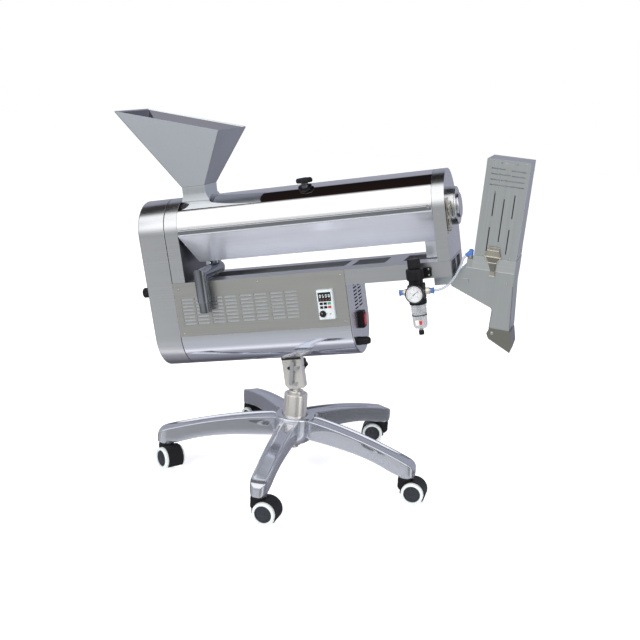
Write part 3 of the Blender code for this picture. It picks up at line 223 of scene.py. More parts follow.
make_camera()
make_floor()
make_room()
make_lamp("key", (-1.6, -2.6, 3.0), (0, 0, 0.5), (1.6, 1.6), 70, (1.0, 0.99, 0.97))
make_lamp("fill", (2.4, -1.6, 1.8), (0, 0, 0.5), (1.4, 1.4), 18, (0.95, 0.97, 1.0))
make_lamp("top", (0.2, 0.6, 3.2), (0, 0, 0.4), (2.4, 1.2), 30)
bpy.context.scene.view_settings.view_transform = "Standard"

# ---------------------------------------------------------------- materials


class Look(Nodes):
    """A procedural material."""

    def __init__(self, name, colour, roughness, metallic=0.0, **sockets):
        self.material = bpy.data.materials.new(name)
        self.material.use_nodes = True
        super().__init__(self.material.node_tree)
        self.shader = self.tree.nodes["Principled BSDF"]
        self.colour = (*colour, 1)
        self.feed(self.shader.inputs["Base Color"], self.colour)
        self.feed(self.shader.inputs["Roughness"], roughness)
        self.feed(self.shader.inputs["Metallic"], metallic)
        for socket, value in sockets.items():
            self.feed(self.shader.inputs[socket.replace("_", " ")], value)

    def coords(self, base=WORLD, stretch=(1, 1, 1)):
        """Coordinates at rest in the frame of BASE, with each axis multiplied by STRETCH."""
        at = self.node("TexCoord").outputs["Object"]
        inverse = base.inverted()
        at = self.node("Mapping", Vector=at, Location=inverse.translation,
                       Rotation=inverse.to_euler()).outputs[0]
        if stretch != (1, 1, 1):
            at = self.node("Mapping", Vector=at, Scale=stretch).outputs[0]
        return at

    def split(self, base=WORLD):
        return self.node("SeparateXYZ", Vector=self.coords(base)).outputs

    def noise(self, scale, detail=3.0, base=WORLD, stretch=(1, 1, 1), roughness=0.5):
        return self.node("TexNoise", Vector=self.coords(base, stretch), Scale=scale, Detail=detail,
                         Roughness=roughness).outputs["Fac"]

    def paint(self, colour):
        self.feed(self.shader.inputs["Base Color"], colour)

    def rough(self, value):
        self.feed(self.shader.inputs["Roughness"], value)

    def bump(self, height, distance, strength=1.0):
        """Adds a bump on top of any bump already there."""
        made = self.node("Bump", Height=height, Distance=distance, Strength=strength)
        before = self.shader.inputs["Normal"].links
        if before:
            self.feed(made.inputs["Normal"], before[0].from_socket)
        self.feed(self.shader.inputs["Normal"], made.outputs[0])


def darker(colour, share):
    return (*(channel * share for channel in colour[:3]), 1)


def steel(name, colour, roughness, base=BODY, grain=(4, 420, 420), depth=0.00004, spread=0.08, stain=0.06,
          metal=1.0):
    """Brushed sheet: a fine grain along one axis, cloudy handling marks and a little tint."""
    look = Look(name, colour, roughness, metal)
    lines = look.noise(1.0, 4.0, base, grain)
    clouds = look.noise(7.0, 4.0, base, (1, 1, 1), 0.6)
    rough = look.range(lines, 0.3, 0.7, roughness - spread / 2, roughness + spread / 2)
    look.rough(look.math("ADD", rough, look.range(clouds, 0.35, 0.7, -spread / 3, spread / 2)))
    shade = look.mix(look.range(lines, 0.3, 0.7), darker(colour, 0.965), darker(colour, 1.02))
    look.paint(look.mix(look.range(clouds, 0.4, 0.75, 0.0, stain * 4), shade, darker(colour, 0.86)))
    look.bump(lines, depth, 0.5)
    return look


def plastic(name, colour, roughness, pebble=900.0, depth=0.00006, coat=0.0, gloss=0.5):
    """Moulded plastic: a fine pebble, duller patches where it is handled."""
    look = Look(name, colour, roughness, 0.0, Coat_Weight=coat, Coat_Roughness=0.15, Specular_IOR_Level=gloss)
    grain = look.noise(pebble, 2.0)
    patches = look.noise(30.0, 3.0)
    look.rough(look.range(patches, 0.3, 0.7, roughness - 0.07, roughness + 0.09))
    look.paint(look.mix(look.range(patches, 0.3, 0.75), look.colour, darker(colour, 0.82)))
    look.bump(grain, depth, 0.4)
    return look


def chrome(name, colour, roughness):
    """Plated casting: mirror-like, with a slow waviness and faint dust."""
    look = Look(name, colour, roughness, 0.84)
    waves = look.noise(11.0, 2.0)
    dust = look.noise(160.0, 5.0)
    look.rough(look.range(dust, 0.45, 0.8, roughness, roughness + 0.10))
    look.paint(look.mix(look.range(dust, 0.5, 0.9, 0.0, 0.5), look.colour, darker(colour, 0.80)))
    look.bump(waves, 0.0012, 0.5)
    return look


CHROME = chrome("chrome", (0.62, 0.64, 0.70), 0.05)
COVER_STEEL = steel("cover_steel", (0.86, 0.86, 0.88), 0.045, depth=0.000004, spread=0.03)
MIRROR_STEEL = steel("mirror_steel", (0.72, 0.73, 0.75), 0.24, depth=0.00001, spread=0.06)
SHELL_STEEL = steel("shell_steel", (0.76, 0.78, 0.84), 0.10, depth=0.000006, spread=0.04)
SATIN_STEEL = steel("satin_steel", (0.66, 0.67, 0.69), 0.32, depth=0.00001)
HOPPER_STEEL = steel("hopper_steel", (0.68, 0.72, 0.75), 0.33, grain=(420, 420, 5), depth=0.00001)
TROUGH_STEEL = steel("trough_steel", (0.70, 0.72, 0.79), 0.16, depth=0.00001, spread=0.05, metal=0.55)
PANEL_STEEL = steel("panel_steel", (0.58, 0.58, 0.55), 0.42, grain=(5, 300, 300), depth=0.00001)
SORTER_STEEL = steel("sorter_steel", (0.68, 0.71, 0.72), 0.34, SORTER, (420, 420, 5), depth=0.00001)
BAND_STEEL = steel("band_steel", (0.80, 0.83, 0.83), 0.30, SORTER, (5, 420, 420), depth=0.00001)
MESH_STEEL = steel("mesh_steel", (0.82, 0.83, 0.88), 0.25, SORTER, (420, 420, 5), depth=0.00001, metal=0.3)
DARK_STEEL = steel("dark_steel", (0.16, 0.16, 0.17), 0.35)
COLUMN_STEEL = steel("column_steel", (0.76, 0.74, 0.71), 0.20, BASE, (400, 400, 6), depth=0.00001, metal=0.75)
OLIVE_STEEL = steel("olive_steel", (0.34, 0.34, 0.30), 0.36, SORTER)
BLACK_PLASTIC = plastic("black_plastic", (0.010, 0.010, 0.012), 0.40, gloss=0.22)
WHEEL_RUBBER = plastic("wheel_rubber", (0.70, 0.75, 0.74), 0.50)
BELT_RUBBER = plastic("belt_rubber", (0.02, 0.02, 0.02), 0.75)
PALE_PLASTIC = plastic("pale_plastic", (0.60, 0.65, 0.67), 0.42)
GREEN_PLASTIC = plastic("green_plastic", (0.02, 0.30, 0.12), 0.35)
RED_PLASTIC = plastic("red_plastic", (0.55, 0.03, 0.03), 0.35)
BLUE_PLASTIC = plastic("blue_plastic", (0.06, 0.17, 0.52), 0.30, coat=0.3)
MOTOR_PAINT = plastic("motor_paint", (0.06, 0.10, 0.15), 0.45)
BRISTLE = plastic("bristle", (0.74, 0.71, 0.62), 0.85, 400.0, 0.0012)
CLEAR_PLASTIC = Look("clear_plastic", (0.46, 0.47, 0.50), 0.10, 0.0, Alpha=0.42)
GAUGE_CASE = plastic("gauge_case", (0.02, 0.02, 0.022), 0.3)
WHEEL_DISC = plastic("wheel_disc", (0.022, 0.024, 0.034), 0.30, coat=0.1)
WELD_STEEL = steel("weld_steel", (0.42, 0.42, 0.42), 0.40)
# Painted shade: a near-black sheet colour that stands in for the shade behind the vent slots.
PAINTED_SHADE_BLACK = plastic("painted_shade_black", (0.012, 0.012, 0.014), 0.7, gloss=0.2)
RIM_STEEL = steel("rim_steel", (0.36, 0.38, 0.40), 0.25, depth=0.00001)
# Painted shade: dark steel that stands in for the shade inside the hopper.
HOPPER_SHADE_STEEL = steel("hopper_shade_steel", (0.17, 0.17, 0.20), 0.22, grain=(420, 420, 5), depth=0.00001)
SCREW_STEEL = steel("screw_steel", (0.62, 0.62, 0.62), 0.25)
NICKEL = steel("nickel", (0.70, 0.66, 0.56), 0.22, WORLD, (60, 60, 60))
DARK_TRIM = plastic("dark_trim", (0.02, 0.02, 0.022), 0.5)
DISPLAY_BLACK = plastic("display_black", (0.006, 0.006, 0.008), 0.12, coat=0.5)
DISPLAY_GREEN = Look("display_green", (0.75, 0.90, 0.85), 0.4, Emission_Color=(0.75, 0.95, 0.90, 1),
                     Emission_Strength=0.5)
DISPLAY_RED = Look("display_red", (0.80, 0.10, 0.06), 0.4, Emission_Color=(1.0, 0.12, 0.08, 1),
                   Emission_Strength=0.4)
WHITE_PAINT = plastic("white_paint", (0.80, 0.80, 0.78), 0.45)
DIAL_WHITE = plastic("dial_white", (0.55, 0.57, 0.59), 0.5, gloss=0.2)
LENS_GLASS = Look("lens_glass", (0.95, 0.97, 0.97), 0.03, 0.0, Alpha=0.12)
HOSE_CLEAR = Look("hose_clear", (0.42, 0.45, 0.50), 0.10, 0.0, Alpha=0.62)
PIPE_STEEL = steel("pipe_steel", (0.33, 0.35, 0.38), 0.14, depth=0.00001, spread=0.04)

# ---------------------------------------------------------------- the frame's own pieces

SKINS = {
    "chrome": CHROME, "mirror_steel": MIRROR_STEEL, "satin_steel": SATIN_STEEL, "panel_steel": PANEL_STEEL,
    "dark_steel": DARK_STEEL, "black_plastic": BLACK_PLASTIC, "wheel_rubber": WHEEL_RUBBER,
    "belt_rubber": BELT_RUBBER, "bristle": BRISTLE, "pale_plastic": PALE_PLASTIC,
    "green_plastic": GREEN_PLASTIC, "red_plastic": RED_PLASTIC, "blue_plastic": BLUE_PLASTIC,
    "clear_plastic": CLEAR_PLASTIC, "gauge_face": GAUGE_CASE, "olive_steel": OLIVE_STEEL,
    "motor_paint": MOTOR_PAINT,
}
OWN_SKINS = {
    "top_cover": COVER_STEEL, "lower_shell": SHELL_STEEL, "hopper": HOPPER_STEEL, "dust_trough": TROUGH_STEEL,
    "sorter_column": SORTER_STEEL, "sorter_base": SORTER_STEEL, "column_post": COLUMN_STEEL,
    "column_sleeve": COLUMN_STEEL, "tilt_bracket": COLUMN_STEEL,
}


def soften(node, crease=32):
    """Smooth shading across shallow edges: only the shading normals are set."""
    mesh = node.data
    count = len(mesh.loops)
    faces = len(mesh.polygons)
    corner = np.empty(count, np.int64)
    mesh.loops.foreach_get("vertex_index", corner)
    points = np.empty(len(mesh.vertices) * 3)
    mesh.vertices.foreach_get("co", points)
    normals = np.empty(faces * 3)
    mesh.polygons.foreach_get("normal", normals)
    areas = np.empty(faces)
    mesh.polygons.foreach_get("area", areas)
    totals = np.empty(faces, np.int64)
    mesh.polygons.foreach_get("loop_total", totals)
    normals = normals.reshape(-1, 3)
    owner = np.repeat(np.arange(faces), totals)
    spots = np.round(points.reshape(-1, 3)[corner] * 1e5).astype(np.int64)
    _, place = np.unique(spots, axis=0, return_inverse=True)
    order = np.argsort(place.reshape(-1), kind="stable")
    limit = cos(radians(crease))
    result = normals[owner].copy()
    starts = np.flatnonzero(np.diff(place.reshape(-1)[order], prepend=-1))
    for group in np.split(order, starts[1:]):
        around = normals[owner[group]]
        weight = areas[owner[group]]
        near = (around @ around.T > limit) * weight
        total = near @ around
        result[group] = total / np.linalg.norm(total, axis=1, keepdims=True).clip(1e-12)
    mesh.polygons.foreach_set("use_smooth", np.ones(faces, bool))
    mesh.normals_split_custom_set(result.tolist())


slot_of = {entry["node"]: entry["material_slot"] for entry in frame["record"]["subparts"]}
for name, node in frame["nodes"].items():
    skin = OWN_SKINS.get(name, SKINS[slot_of[name]]).material
    if not node.material_slots:
        node.data.materials.append(skin)
    for slot in node.material_slots:
        slot.material = skin
    soften(node)

# ---------------------------------------------------------------- shape tools

AXES = {"x": (1, 2, 0), "y": (0, 2, 1), "z": (0, 1, 2)}


def spot(axis, across, along):
    """The point whose two cross coordinates are ACROSS and whose AXIS coordinate is ALONG."""
    first, second, third = AXES[axis]
    point = [0.0, 0.0, 0.0]
    point[first] = across[0]
    point[second] = across[1]
    point[third] = along
    return point


def arc(centre, radius, start, end, steps):
    turns = [radians(start + (end - start) * i / steps) for i in range(steps + 1)]
    return [(centre[0] + radius * cos(a), centre[1] + radius * sin(a)) for a in turns]


def circle(centre, radius, sides):
    return arc(centre, radius, 0, 360, sides)[:-1]


def rectangle(low, high):
    return [(low[0], low[1]), (high[0], low[1]), (high[0], high[1]), (low[0], high[1])]


def rounded(left, low, right, high, radius, steps=6):
    """The outline of a rectangle with round corners."""
    return (arc((right - radius, low + radius), radius, -90, 0, steps)
            + arc((right - radius, high - radius), radius, 0, 90, steps)
            + arc((left + radius, high - radius), radius, 90, 180, steps)
            + arc((left + radius, low + radius), radius, 180, 270, steps))


def loft(rings, cyclic=False):
    """Skins closed rings of equal length, capping the ends unless the rings close up."""
    shape = bmesh.new()
    rows = [[shape.verts.new(point) for point in ring] for ring in rings]
    pairs = list(zip(rows, rows[1:]))
    if cyclic:
        pairs.append((rows[-1], rows[0]))
    else:
        shape.faces.new(rows[0][::-1])
        shape.faces.new(rows[-1])
    for low, high in pairs:
        for i in range(len(low)):
            j = (i + 1) % len(low)
            shape.faces.new((low[i], low[j], high[j], high[i]))
    bmesh.ops.remove_doubles(shape, verts=shape.verts, dist=1e-7)
    bmesh.ops.recalc_face_normals(shape, faces=shape.faces)
    return shape


def prism(axis, outline, start, end):
    return loft([[spot(axis, point, along) for point in outline] for along in (start, end)])


def box(low, high):
    return prism("z", rectangle(low, high), low[2], high[2])


def lathe(axis, centre, profile, sides=64, tube=False):
    """Turns a profile of (radius, along) points; a TUBE profile is a closed loop off the axis."""
    rings = [[spot(axis, point, along) for point in circle(centre, max(radius, 1e-5), sides)]
             for radius, along in profile]
    return loft(rings, cyclic=tube)


def fluted(axis, centre, profile, swell, flutes, sides, where, cyclic=False):
    """A lathe whose rings swell by a share of their radius FLUTES times round, WHERE(radius, along)."""
    turns = [2 * pi * i / sides for i in range(sides)]
    rings = []
    for radius, along in profile:
        share = swell if where(radius, along) else 0
        reaches = [radius * (1 + share * cos(flutes * turn)) for turn in turns]
        rings.append([spot(axis, (centre[0] + reach * cos(turn), centre[1] + reach * sin(turn)), along)
                      for reach, turn in zip(reaches, turns)])
    return loft(rings, cyclic)


DIGIT_BARS = {0: "abcdef", 2: "abdeg", 4: "bcfg", 5: "acdfg", 6: "acdefg", 8: "abcdefg"}


def digit(at, number, width, half, thick, near, far):
    """A plain seven-bar numeral on a front face, between v = NEAR and v = FAR."""
    bars = {"a": (0, half, width, thick), "g": (0, 0, width, thick), "d": (0, -half, width, thick),
            "b": (width / 2, half / 2, thick, half), "c": (width / 2, -half / 2, thick, half),
            "f": (-width / 2, half / 2, thick, half), "e": (-width / 2, -half / 2, thick, half)}
    shapes = []
    for key in DIGIT_BARS[number]:
        x, y, across, up = bars[key]
        shapes.append(box((at[0] + x - across / 2, near, at[1] + y - up / 2),
                          (at[0] + x + across / 2, far, at[1] + y + up / 2)))
    return shapes


def rod(start, end, radius, sides=20):
    """A straight round bar between two points."""
    way = (Vector(end) - Vector(start)).normalized()
    aside = way.orthogonal().normalized()
    up = aside.cross(way)
    rings = [[Vector(at) + radius * (cos(2 * pi * i / sides) * aside + sin(2 * pi * i / sides) * up)
              for i in range(sides)] for at in (start, end)]
    return loft(rings)


def wire(points, radius, sides=12):
    """A bent round wire through the points, mitred at the corners."""
    points = [Vector(point) for point in points]
    ways = [(end - start).normalized() for start, end in zip(points, points[1:])]
    aside = ways[0].orthogonal().normalized()
    rings = []
    for i, point in enumerate(points):
        before = ways[max(i - 1, 0)]
        after = ways[min(i, len(ways) - 1)]
        normal = (before + after).normalized()
        aside = (aside - aside.dot(normal) * normal).normalized()
        up = normal.cross(aside)
        rings.append([point + radius * (cos(2 * pi * k / sides) * aside + sin(2 * pi * k / sides) * up)
                      for k in range(sides)])
    return loft(rings)


def temporary(shape):
    mesh = bpy.data.meshes.new("temporary")
    shape.to_mesh(mesh)
    shape.free()
    made = bpy.data.objects.new("temporary", mesh)
    bpy.context.scene.collection.objects.link(made)
    return made


def combined(first, second, operation):
    target = temporary(first)
    tool = temporary(second)
    modifier = target.modifiers.new("combine", "BOOLEAN")
    modifier.operation = operation
    modifier.object = tool
    result = bmesh.new()
    result.from_object(target, bpy.context.evaluated_depsgraph_get())
    for helper in (target, tool):
        bpy.data.objects.remove(helper)
    bmesh.ops.remove_doubles(result, verts=result.verts, dist=1e-6)
    return result


def joined(first, *others):
    for other in others:
        first = combined(first, other, "UNION")
    return first


def cut(first, *tools):
    for tool in tools:
        first = combined(first, tool, "DIFFERENCE")
    return first


def together(shapes):
    """Separate shapes as one, with no Boolean."""
    shapes = list(shapes)
    merged = shapes[0]
    for shape in shapes[1:]:
        mesh = bpy.data.meshes.new("temporary")
        shape.to_mesh(mesh)
        shape.free()
        merged.from_mesh(mesh)
        bpy.data.meshes.remove(mesh)
    return merged


def piece(name, shape, skin, body, base=BODY, replaces=(), crease=32, bevel=0.0, smooth=0):
    """Makes the named object from a shape drawn in the frame BASE, riding on BODY."""
    bmesh.ops.transform(shape, matrix=base, verts=shape.verts)
    for face in shape.faces:
        face.smooth = True
    mesh = bpy.data.meshes.new(name)
    shape.to_mesh(mesh)
    shape.free()
    if not smooth:
        mesh.set_sharp_from_angle(angle=radians(crease))
    mesh.materials.append(skin.material)
    made = bpy.data.objects.new(name, mesh)
    bpy.context.scene.collection.objects.link(made)
    if smooth:
        modifier = made.modifiers.new("smooth", "SUBSURF")
        modifier.levels = smooth
        modifier.render_levels = smooth
    if bevel:
        modifier = made.modifiers.new("edges", "BEVEL")
        modifier.width = bevel
        modifier.segments = 2
        modifier.limit_method = "ANGLE"
        modifier.angle_limit = radians(40)
        modifier.harden_normals = True
    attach(made, body)
    if replaces:
        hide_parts(*replaces)
    return made


# ---------------------------------------------------------------- sizes, as in the CAD

GAP = 0.0003
SHEET = 0.002
SOCKET_BOTTOM = 0.0632
HUB_TOP = 0.1375
HUB_BOTTOM = 0.0775
HUB_RADIUS = 0.0525
ARM_START = 0.040
ARM_REACH = 0.335
ARM_FLARE = 0.005               # how much wider an arm's half is at the hub
ARM_HALF_WIDTH = 0.0215
CASTER_TRAIL = 0.0225
WHEEL_RADIUS = 0.0285
STEM_RADIUS = 0.0055
CASING_RADIUS = 0.087
LOW_CENTRE = -0.080             # centre of the round bottom
HIGH_CENTRE = 0.187             # centre of the round top, the brush axis
HEAD_LEFT = -0.390
HEAD_RIGHT = -0.3175
BAND_LEFT = -0.3155
BAND_RIGHT = -0.280
CASING_RIGHT = 0.1455
FRAME_BOTTOM = 0.0255
FRAME_TOP = 0.064
FRAME_RIGHT = 0.405
FRAME_HALF_WIDTH = 0.0853
POST_LEFT = 0.375
RIM_TOP = 0.1975
RIM_BOTTOM = 0.183
TROUGH_FLOOR = 0.1065
PANEL_BOTTOM = -0.0765
SHELL_TOP = FRAME_BOTTOM - GAP
COLLAR_W = 0.183
COLLAR_END = 0.4190
MOTOR_W = -0.050
COVER_LEFT = BAND_RIGHT + 0.0006
COVER_RIGHT = POST_LEFT - 0.0006
COVER_EDGE = RIM_TOP + 0.0010
SORTER_FRONT = -0.060
SORTER_BACK = 0.0506
COLUMN_HALF_WIDTH = 0.0494
PIPE_U, PIPE_V, PIPE_W, PIPE_RADIUS = -0.2255, -0.107, 0.083, 0.017

# ---------------------------------------------------------------- star base and castors


def arm_top(reach):
    return 0.1507 - 0.40 * reach**2


def arm_bottom(reach):
    return max(SOCKET_BOTTOM + 0.0015, 0.0960 - 3.3 * reach**4)


def arm_ring(reach, half, drop, channel, heading):
    """One cross-section of an arm: two rounded rims with a channel between them."""
    top = arm_top(reach) - drop
    low = min(arm_bottom(reach), top - 0.004)
    rim = 0.32 * half
    shoulder = 0.004 if drop < 0.004 else 0.002
    side = [(0.0, top - channel), (half - 1.35 * rim, top - channel), (half - rim, top - 0.7 * channel),
            (half - 0.72 * rim, top - 0.0006), (half - 0.35 * rim, top),
            (half - 0.10 * rim, top - 0.3 * shoulder), (half, top - shoulder),
            (half + 0.0004, (top + low) / 2), (0.95 * half, low + shoulder), (0.88 * half, low + 0.0005),
            (0.70 * half, low), (0.0, low)]
    outline = side + [(-across, height) for across, height in reversed(side[1:-1])]
    ahead = Vector((sin(heading), -cos(heading), 0))
    aside = Vector((cos(heading), sin(heading), 0))
    return [ahead * reach + aside * across + Vector((0, 0, height)) for across, height in outline]


def make_star_base():
    crown = arm_top(0.044) + 0.0005
    hub = lathe("z", (0, 0), [(0.030, HUB_BOTTOM), (0.040, HUB_BOTTOM + 0.001), (0.046, HUB_BOTTOM + 0.006),
                              (0.0505, 0.095), (HUB_RADIUS, 0.105), (HUB_RADIUS, crown - 0.006),
                              (HUB_RADIUS - 0.0012, crown - 0.0025), (HUB_RADIUS - 0.004, crown - 0.0004),
                              (HUB_RADIUS - 0.007, crown), (0.0350, crown), (0.0338, crown - 0.0010),
                              (0.0335, crown - 0.003), (0.0335, HUB_TOP), (0.014, HUB_TOP)], 96)
    piece("star_hub", hub, CHROME, "base", BASE, ("star_base",), 40)
    for number in range(1, 6):
        socket = place_of(f"caster_swivel_{number}") - FOOT
        heading = pi / 2 + Vector((socket.x, socket.y)).angle_signed(Vector((1, 0)))
        stations = [(ARM_START + (ARM_REACH - ARM_START) * i / 10,
                     ARM_HALF_WIDTH + ARM_FLARE * (1 - i / 10) ** 2, 0.0, channel)
                    for i, channel in enumerate(9 * [0.0062] + [0.0042, 0.0018])]
        nose = [(ARM_REACH + 0.0060, 0.98 * ARM_HALF_WIDTH, 0.0006, 0.0004),
                (ARM_REACH + 0.0125, 0.89 * ARM_HALF_WIDTH, 0.0022, 0.0),
                (ARM_REACH + 0.0175, 0.72 * ARM_HALF_WIDTH, 0.0050, 0.0),
                (ARM_REACH + 0.0210, 0.50 * ARM_HALF_WIDTH, 0.0090, 0.0),
                (ARM_REACH + 0.0228, 0.22 * ARM_HALF_WIDTH, 0.0140, 0.0)]
        arm = loft([arm_ring(*station, heading) for station in stations + nose])
        piece(f"star_arm_{number}", arm, CHROME, "base", BASE, smooth=2)
        boss = lathe("z", (socket.x, socket.y), [(0.008, SOCKET_BOTTOM), (0.0185, SOCKET_BOTTOM),
                                                 (0.0203, SOCKET_BOTTOM + 0.0014),
                                                 (0.0207, SOCKET_BOTTOM + 0.004), (0.0207, 0.082)], 48)
        piece(f"star_boss_{number}", boss, CHROME, "base", BASE)


def make_casters():
    for number in range(1, 6):
        stem = place_of(f"caster_swivel_{number}")
        axle = place_of(f"caster_roll_{number}")
        ahead = Vector((axle.x - stem.x, axle.y - stem.y, 0)).normalized()
        aside = axis_of(f"caster_roll_{number}")
        fork = frame_matrix(ahead, aside, Vector((0, 0, 1)), Vector((stem.x, stem.y, 0)))
        centre = (CASTER_TRAIL, WHEEL_RADIUS)
        outer, inner = WHEEL_RADIUS + 0.0032, WHEEL_RADIUS + 0.0012
        rim = arc(centre, outer, -35, 190, 60) + arc(centre, inner, 190, -35, 60)
        fender = prism("y", rim, -0.0215, 0.0215)
        web = prism("y", arc(centre, WHEEL_RADIUS + 0.0026, -35, 200, 40) + [(0.002, 0.010), (0.036, 0.008)],
                    -0.0050, 0.0050)
        neck = lathe("z", (0, 0), [(0.0150, 0.0280), (0.0185, 0.0320), (0.0195, 0.0345),
                                   (0.0195, SOCKET_BOTTOM - 0.0045), (0.0190, SOCKET_BOTTOM - 0.0022),
                                   (0.0178, SOCKET_BOTTOM - 0.0008), (0.0160, SOCKET_BOTTOM - GAP),
                                   (STEM_RADIUS, SOCKET_BOTTOM - GAP)], 48)
        room = together(prism("y", circle(centre, inner, 60), start, start + 0.0250)
                        for start in (-0.0304, 0.0054))
        rib = lathe("z", (0, 0), [(0.0200, SOCKET_BOTTOM - 0.0105), (0.0200, SOCKET_BOTTOM - 0.0093)], 48)
        piece(f"caster_fork_{number}", together([fender, web, cut(neck, room), rib]), BLACK_PLASTIC,
              f"caster_{number}", fork, (f"caster_hood_{number}",), 40, 0.0007)

        hub = frame_matrix(ahead, aside, Vector((0, 0, 1)), axle)
        tyres, discs, caps = [], [], []
        for side in (-1, 1):
            tyre = [(0.0212, 0.0278), (0.0218, 0.0289), (0.0232, 0.0292), (0.0258, 0.0291), (0.0274, 0.0283),
                    (0.0282, 0.0268), (WHEEL_RADIUS, 0.0245), (WHEEL_RADIUS, 0.0100), (0.0280, 0.0078),
                    (0.0268, 0.0068), (0.0212, 0.0068)]
            tyres.append(lathe("y", (0, 0), [(radius, side * along) for radius, along in tyre], 72,
                               tube=True))
            disc = [(0.0040, 0.0072), (0.0211, 0.0072), (0.0211, 0.0262), (0.0205, 0.0272), (0.0196, 0.0276),
                    (0.0188, 0.0272), (0.0184, 0.0262), (0.0120, 0.0268), (0.0001, 0.0270)]
            discs.append(lathe("y", (0, 0), [(radius, side * along) for radius, along in disc], 64))
            caps.append(lathe("y", (0, 0), [(0.0062, side * 0.0262), (0.0062, side * 0.0272),
                                            (0.0054, side * 0.0277), (0.0001, side * 0.0279)], 32))
        axle_bar = lathe("y", (0, 0), [(0.0038, -0.0080), (0.0038, 0.0080)], 24)
        piece(f"caster_tyres_{number}", together(tyres), WHEEL_RUBBER, f"wheels_{number}",
              hub, (f"caster_wheels_{number}",))
        piece(f"caster_discs_{number}", together(discs + caps + [axle_bar]), WHEEL_DISC, f"wheels_{number}",
              hub)


# ---------------------------------------------------------------- column

CLAMP = place_of("clamp_lever_turn") - FOOT
SLEEVE_RADIUS = 0.0308
SLEEVE_TOP = 0.2080
POST_RADIUS = 0.0205
POST_TOP = 0.2160


def make_column():
    sleeve = [(POST_RADIUS + GAP, HUB_TOP + GAP), (0.0318, HUB_TOP + GAP), (0.0322, HUB_TOP + 0.001),
              (0.0322, HUB_TOP + 0.011), (0.0318, HUB_TOP + 0.0125), (SLEEVE_RADIUS, HUB_TOP + 0.0150),
              (SLEEVE_RADIUS, SLEEVE_TOP - 0.0026), (SLEEVE_RADIUS - 0.0008, SLEEVE_TOP - 0.0008),
              (SLEEVE_RADIUS - 0.0024, SLEEVE_TOP), (POST_RADIUS + 0.0015, SLEEVE_TOP),
              (POST_RADIUS + GAP, SLEEVE_TOP - 0.0030)]
    piece("sleeve_tube", lathe("z", (0, 0), sleeve, 96, tube=True), COLUMN_STEEL, "base", BASE,
          ("column_sleeve",))
    profile = [(0.014, HUB_BOTTOM - 0.020), (0.014, HUB_TOP + 2 * GAP), (POST_RADIUS, HUB_TOP + 2 * GAP),
               (POST_RADIUS, POST_TOP - 0.0030), (POST_RADIUS - 0.0008, POST_TOP - 0.0009),
               (POST_RADIUS - 0.0026, POST_TOP), (0.004, POST_TOP)]
    nut = prism("z", circle((0, 0), 0.0195, 6), HUB_BOTTOM - 0.0140, HUB_BOTTOM - 0.0070)
    washer = lathe("z", (0, 0), [(0.0225, HUB_BOTTOM - 0.0065), (0.0225, HUB_BOTTOM - 0.0035),
                                 (0.014, HUB_BOTTOM - 0.0035)], 48)
    half, depth = 0.0065, 0.0090
    tongue = box((-half, -depth, POST_TOP - 0.010), (half, depth, CLAMP.z + 0.0065))
    piece("post_tube", together([lathe("z", (0, 0), profile, 96), tongue, washer, nut]), COLUMN_STEEL,
          "column", BASE, ("column_post",), bevel=0.0006)


# ---------------------------------------------------------------- casing


def round_bottom(inset, top, steps=96):
    radius = CASING_RADIUS - inset
    return arc((0, LOW_CENTRE), radius, 180, 360, steps) + [(radius, top), (-radius, top)]


def round_top(inset, bottom, steps=96):
    radius = CASING_RADIUS - inset
    return arc((0, HIGH_CENTRE), radius, 0, 180, steps) + [(-radius, bottom), (radius, bottom)]


def racetrack(inset):
    radius = CASING_RADIUS - inset
    return arc((0, HIGH_CENTRE), radius, 0, 180, 80) + arc((0, LOW_CENTRE), radius, 180, 360, 80)


def shaft_hole(low, high):
    return lathe("x", (0, HIGH_CENTRE), [(0.0083, low), (0.0083, high)], 40)


def make_lower_shell():
    shell = prism("x", round_bottom(0, SHELL_TOP), BAND_LEFT, CASING_RIGHT - 0.0025)
    room = prism("x", round_bottom(SHEET, SHELL_TOP + 0.01), BAND_LEFT + SHEET, CASING_RIGHT)
    front = box((BAND_LEFT - 0.01, -0.10, PANEL_BOTTOM - GAP),
                (CASING_RIGHT, -FRAME_HALF_WIDTH, SHELL_TOP + 0.01))
    shaft = lathe("x", (0, MOTOR_W), [(0.0105, BAND_LEFT - 0.01), (0.0105, BAND_LEFT + 0.01)], 32)
    piece("bottom_shell", cut(shell, room, front, shaft), SHELL_STEEL, "machine",
          replaces=("lower_shell",), bevel=0.0003)


def make_end_plate():
    length, height, pitch = 0.030, 0.0048, 0.0088
    plate = prism("x", round_bottom(0.0023, SHELL_TOP, 64), CASING_RIGHT - 0.0020, CASING_RIGHT)
    corners = [(left, -0.0486 + pitch * row) for left in (-0.0325, 0.0085) for row in range(8)]
    slots = [box((0.1, left, bottom), (0.2, left + length, bottom + height)) for left, bottom in corners]
    lips = [louvre(CASING_RIGHT, (left, left + length), bottom + height) for left, bottom in corners]
    piece("end_panel", together([cut(plate, together(slots))] + lips), MIRROR_STEEL, "machine",
          replaces=("end_plate",))


def louvre(face, ends, top):
    """A pressed louvre on the end plate: a thin hood over its slot, with pinched ends."""
    reach, drop, wall, steps = 0.0009, 0.0008, 0.0003, 8
    rings = []
    for share in (i / steps for i in range(steps + 1)):
        swell = max(sin(pi * share), 0.0) ** 0.35
        at = ends[0] + (ends[1] - ends[0]) * share
        outside = [(0.0, top + 0.0010), (0.55 * reach * swell, top + 0.0004),
                   (0.95 * reach * swell, top - 0.35 * drop), (reach * swell, top - drop * swell)]
        inside = [(max(depth - wall, -wall), height - 0.0002) for depth, height in reversed(outside)]
        rings.append([(face + depth, at, height) for depth, height in outside + inside])
    return loft(rings)


